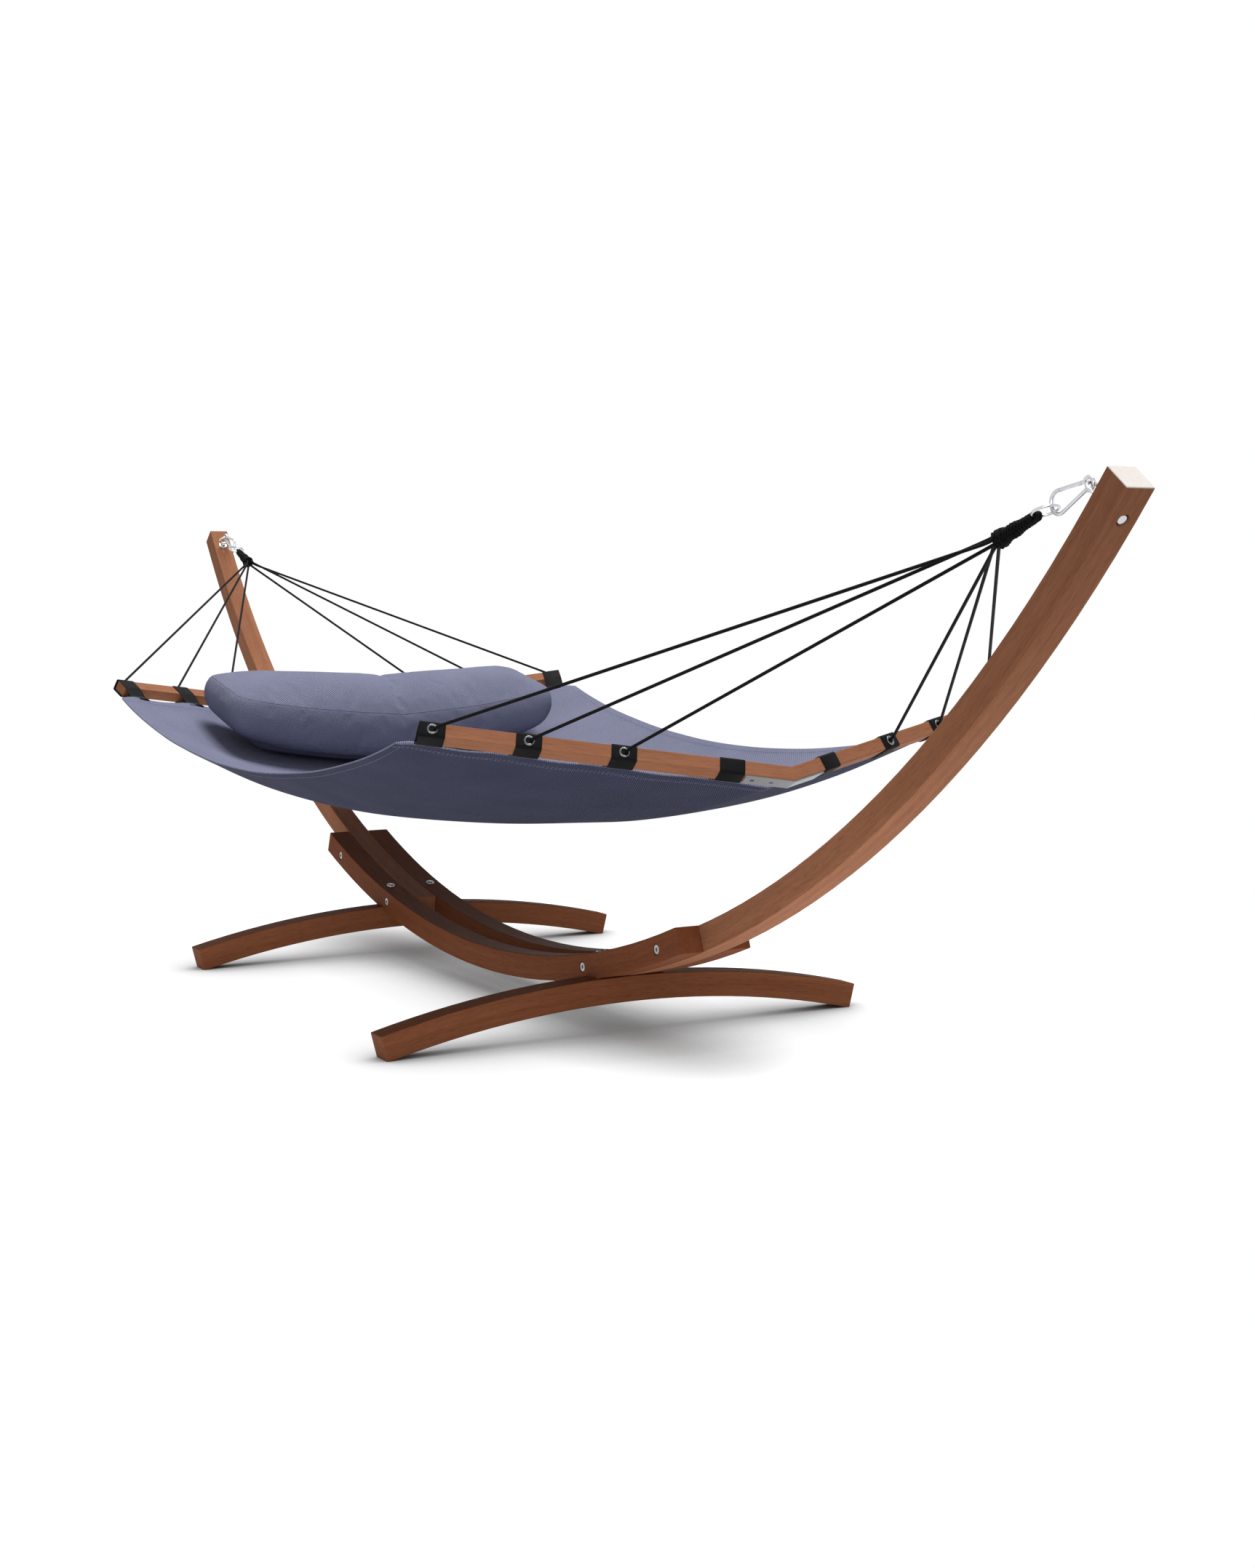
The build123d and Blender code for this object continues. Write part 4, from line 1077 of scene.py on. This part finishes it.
def pillow_outline(count):
    """The top panel's outline: places and outward directions round a rectangle with round corners."""
    half_length, half_width, corner = PILLOW_HALF_LENGTH, PILLOW_HALF_WIDTH, PILLOW_CORNER
    straight = [2 * (half_width - corner), 2 * (half_length - corner)]
    spots = []
    start = Vector((half_length, -(half_width - corner)))
    heading = Vector((0.0, 1.0))
    for lap in range(4):
        run = straight[lap % 2]
        outward = Vector((heading.y, -heading.x))
        pieces = max(6, round(count * run / (2 * sum(straight))))
        for i in range(pieces):
            spots.append((start + heading * (run * i / pieces), outward))
        start = start + heading * run
        centre = start - outward * corner
        for i in range(6):
            turn = pi / 2 * i / 6
            away = outward * cos(turn) + heading * sin(turn)
            spots.append((centre + away * corner, away))
        heading = Vector((-heading.y, heading.x))
        start = centre + Vector((heading.y, -heading.x)) * corner
    return spots


def pillow_boxing(share):
    """The boxing's outward bulge and height share: from the seam down, rounding under to the sling."""
    left = 1 - share
    weights = (left**3, 3 * left**2 * share, 3 * left * share**2, share**3)
    return [sum(weight * spot[k] for weight, spot in zip(weights, PILLOW_BOXING)) for k in range(2)]


def pillow_spot(spot, away, inset, wall, crown):
    """A pillow point moved in from the top panel's outline, or out from it where the inset is negative."""
    if inset <= 0:
        place = spot - away * inset
    else:
        reach = PILLOW_HALF_LENGTH - PILLOW_HALF_WIDTH
        core = Vector((max(-reach, min(reach, spot.x)), 0.0))
        place = spot + (core - spot) * min(inset / PILLOW_HALF_WIDTH, 1.0)
    scale = 1 - PILLOW_DRAW_IN / PILLOW_HALF_WIDTH * (1 - pillow_share(place.x))
    return pillow_place(place.x, place.y * scale, wall, crown)


def pillow_rows(outline):
    """Rings of points over the pillow: crown, boxing and underside."""
    rows = []
    crown_steps, wall_steps, base_steps = 14, 16, 5
    for k in range(crown_steps + 1):
        share = k / crown_steps
        inset = PILLOW_HALF_WIDTH * (1 - share)
        rows.append([pillow_spot(*place, inset, 1.0, 1 - share**2.2) for place in outline])
    for k in range(1, wall_steps + 1):
        bulge, height = pillow_boxing(k / wall_steps)
        rows.append([pillow_spot(*place, -bulge, height, 0.0) for place in outline])
    for k in range(1, base_steps + 1):
        share = k / base_steps
        inset = PILLOW_UNDERCUT + (PILLOW_HALF_WIDTH - PILLOW_UNDERCUT) * share
        height = PILLOW_TUCK * (1 - share) ** 2
        rows.append([pillow_spot(*place, inset, height, 0.0) for place in outline])
    return rows


def puff(cushion, seam):
    """Blow the pillow's panels out between the seam and the sling, as cloth under a little pressure."""
    held = cushion.vertex_groups.new(name="held")
    tree = KDTree(len(seam))
    for index, point in enumerate(seam):
        tree.insert(point, index)
    tree.balance()
    start = [vertex.co.copy() for vertex in cushion.data.vertices]
    for vertex in cushion.data.vertices:
        near = tree.find(vertex.co)[2]
        resting = vertex.co.z - bed_height(vertex.co.x, vertex.co.y) - PILLOW_LIFT
        weight = max(1 - near / PILLOW_SEAM_HOLD, 1 - resting / PILLOW_BASE_HOLD, 0.0)
        held.add([vertex.index], min(weight, 1.0), "REPLACE")
    cloth = cushion.modifiers.new("cloth", "CLOTH").settings
    for key, value in PILLOW_CLOTH.items():
        setattr(cloth, key, value)
    cloth.effector_weights.gravity = 0.0
    for step in range(1, PILLOW_FRAMES + 1):
        bpy.context.scene.frame_set(step)
    apply_modifiers(cushion)
    bpy.context.scene.frame_set(1)
    for vertex, before in zip(cushion.data.vertices, start):
        move = vertex.co - before
        if move.length > PILLOW_GIVE:
            move *= PILLOW_GIVE / move.length
        vertex.co = before + move
        vertex.co.z = max(vertex.co.z, bed_height(vertex.co.x, vertex.co.y) + PILLOW_LIFT)


def crease(cushion):
    """Press short shallow wrinkles into the top panel."""
    for vertex in cushion.data.vertices:
        if vertex.normal.z < 0.5:
            continue
        for x, y, half, turn, depth in CREASES:
            away = Vector((vertex.co.x - x, vertex.co.y - y))
            way = Vector((cos(radians(turn)), sin(radians(turn))))
            along, beside = away.dot(way) / half, away.cross(way) / CREASE_WIDTH
            if abs(along) < 1 and abs(beside) < 4:
                ridge = (1.6 * beside * beside - 1) / (1 + beside * beside) ** 2
                vertex.co.z += depth * ridge * (1 - along * along) ** 2


def measure_panels(cushion):
    """Lay the pillow's cloth out flat, panel by panel, for its weave."""
    layer = cushion.data.uv_layers.new(name="measure")
    for polygon in cushion.data.polygons:
        normal = polygon.normal
        upright = abs(normal.z) <= PILLOW_SIDE_SLOPE
        first = 0 if upright and abs(normal.x) <= abs(normal.y) else 1
        second = 2 if upright else 0
        for loop, vertex in zip(polygon.loop_indices, polygon.vertices):
            place = cushion.data.vertices[vertex].co
            layer.data[loop].uv = (place[first], place[second])


def pillow(material):
    outline = pillow_outline(170)
    surface = Surface()
    surface.net(pillow_rows(outline), lambda r, c: (0.0, 0.0), closed=True)
    cushion = surface.piece("boxed_pillow", material)
    seam = [pillow_spot(*place, 0.0, 1.0, 0.0) for place in outline]
    remesh = cushion.modifiers.new("remesh", "REMESH")
    remesh.mode = "VOXEL"
    remesh.voxel_size = PILLOW_VOXEL
    apply_modifiers(cushion)
    puff(cushion, seam)
    smooth = cushion.modifiers.new("smooth", "SUBSURF")
    smooth.levels = 1
    apply_modifiers(cushion)
    crease(cushion)
    for polygon in cushion.data.polygons:
        polygon.use_smooth = True
    cushion.vertex_groups.clear()
    measure_panels(cushion)
    settle(cushion, "pillow", "pillow_cloth", "pillow")
    points = [vertex.co for vertex in cushion.data.vertices]
    skin = BVHTree.FromPolygons(points, [polygon.vertices for polygon in cushion.data.polygons])
    seam = [skin.find_nearest(point)[0] for point in seam]
    back = min(range(len(seam)), key=lambda index: seam[index].x + abs(seam[index].y))
    cord = Surface()
    tube(cord, seam[back:] + seam[: back + 1], SEAM_CORD, 6)
    settle(cord.piece("pillow_seam", material), "pillow", "pillow_cloth")


# Stage
def stage():
    """A pale floor that glows, its glow dimmed near the part as painted shade, and a sky that is brightest
    overhead and white where seen.
    """
    mesh = bpy.data.meshes.new("floor")
    corners = [(x * FLOOR_REACH, y * FLOOR_WIDTH, 0) for x, y in ((-1, -1), (1, -1), (1, 1), (-1, 1))]
    mesh.from_pydata(corners, [], [(0, 1, 2, 3)])
    floor = placed("floor", mesh)
    finish = Finish("pale_floor", roughness=0.9, specular_ior_level=0.0, emission_strength=1.0)
    # Painted shade: the floor's glow dims where parts come near, in place of cast contact shadow.
    values = {"Color": WHITE, "Distance": FLOOR_SHADE}
    open_sky = finish.node("ShaderNodeAmbientOcclusion", {"samples": 16}, values, "AO")
    glow = finish.mix(open_sky**FLOOR_SHADE_POWER, BLACK, WHITE)
    mesh.materials.append(finish.feed(base_color=(0.18, 0.18, 0.18, 1.0), emission_color=glow))
    world = bpy.data.worlds.new("studio")
    bpy.context.scene.world = world
    world.use_nodes = True
    world.node_tree.nodes.clear()
    sky = Graph(world.node_tree)
    height = sky.split(sky.place("Generated"))[2]
    strength = height.step(-0.1, 1.0, {"To Min": SKY_HORIZON, "To Max": SKY_ZENITH})
    light = sky.node("ShaderNodeBackground", values={"Color": WHITE, "Strength": strength})
    seen = sky.node("ShaderNodeBackground", values={"Color": WHITE, "Strength": 1.0})
    rays = [sky.node("ShaderNodeLightPath", out=f"Is {kind} Ray") for kind in ("Camera", "Glossy")]
    either = sky.maths("MAXIMUM", *rays)
    mixed = sky.node("ShaderNodeMixShader", values={0: either, 1: light, 2: seen})
    shown = world.node_tree.nodes.new("ShaderNodeOutputWorld")
    sky.put(shown.inputs["Surface"], mixed)


def sun(name, towards, spread, power):
    """A soft far light: where it stands, how wide it looks in degrees and how strong it is."""
    data = bpy.data.lights.new(name, "SUN")
    data.angle = radians(spread)
    data.energy = power
    made = placed(name, data)
    made.rotation_mode = "QUATERNION"
    made.rotation_quaternion = Vector(towards).to_track_quat("Z", "Y")


def camera():
    data = bpy.data.cameras.new("photograph")
    data.sensor_fit = "HORIZONTAL"
    data.sensor_width = SENSOR_WIDTH
    data.lens = FOCAL_PIXELS / IMAGE_WIDTH * SENSOR_WIDTH
    data.clip_end = 100.0
    made = placed("photograph", data)
    turn, rise = radians(CAMERA_AZIMUTH), radians(CAMERA_ELEVATION)
    back = Vector((sin(turn) * cos(rise), -cos(turn) * cos(rise), sin(rise)))
    right = Vector((cos(turn), sin(turn), 0.0))
    up = back.cross(right)
    made.matrix_world = Matrix.Translation(CAMERA_PLACE) @ Matrix((right, up, back)).transposed().to_4x4()
    bpy.context.scene.camera = made


def dress_solids(finishes):
    """Give the solids that show as they are their finish, by the starts of their names."""
    for name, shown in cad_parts.items():
        for starts, material in finishes.items():
            if name.startswith(starts):
                shown.data.materials.clear()
                shown.data.materials.append(material)


bpy.context.scene.view_settings.view_transform = "Standard"
camera()
stage()
sun("overhead", (-0.06, 0.15, 1.0), 30.0, 3.6)
sun("front", (1.0, -0.55, 0.05), 60.0, 1.3)
cord = braided_cord()
nickel = dark_nickel()
arm_wood = bow_wood("stained_arm_wood", colour(170, 116, 86), colour(115, 72, 50), colour(150, 98, 71))
# Painted shade: the rails take darker tones than the arms in place of the shade that the bed casts on them.
rail_wood = bow_wood("stained_rail_wood_painted_shade", colour(134, 80, 52), colour(91, 47, 28), colour(118, 67, 41))
dress_solids(
    {
        ("arm_",): arm_wood,
        ("base_rail",): rail_wood,
        ("cross_beam_head", "cross_beam_foot"): cross_wood(),
        ("spreader_bar",): bar_wood(),
        ("snap", "ring", "eye_bolt", "gate_pin"): bright_steel(),
        ("bar_bracket",): grey_plate(),
        ("rail_bolt_washers", "bracket_screws"): nickel,
        ("rail_bolts", "rail_bolt_nuts", "cross_beam_bolt", "gate_spring"): zinc_steel(),
    }
)
thread_tree = stitch_tree(sewing_thread())
ropes(cord)
clews(cord)
stop_knots(cord)
cloth = sling(twill("heather_sling_twill", 1.0))
seams = sew("sling_stitches", thread_tree, sling_rows(), "hammock", "sling_cloth", SLING_STITCH)
flat_width, flat_length, flat_area = sling_flat()
straps(webbing(), thread_tree)
eyelets(nickel)
pillow(twill("heather_pillow_twill", 0.0))
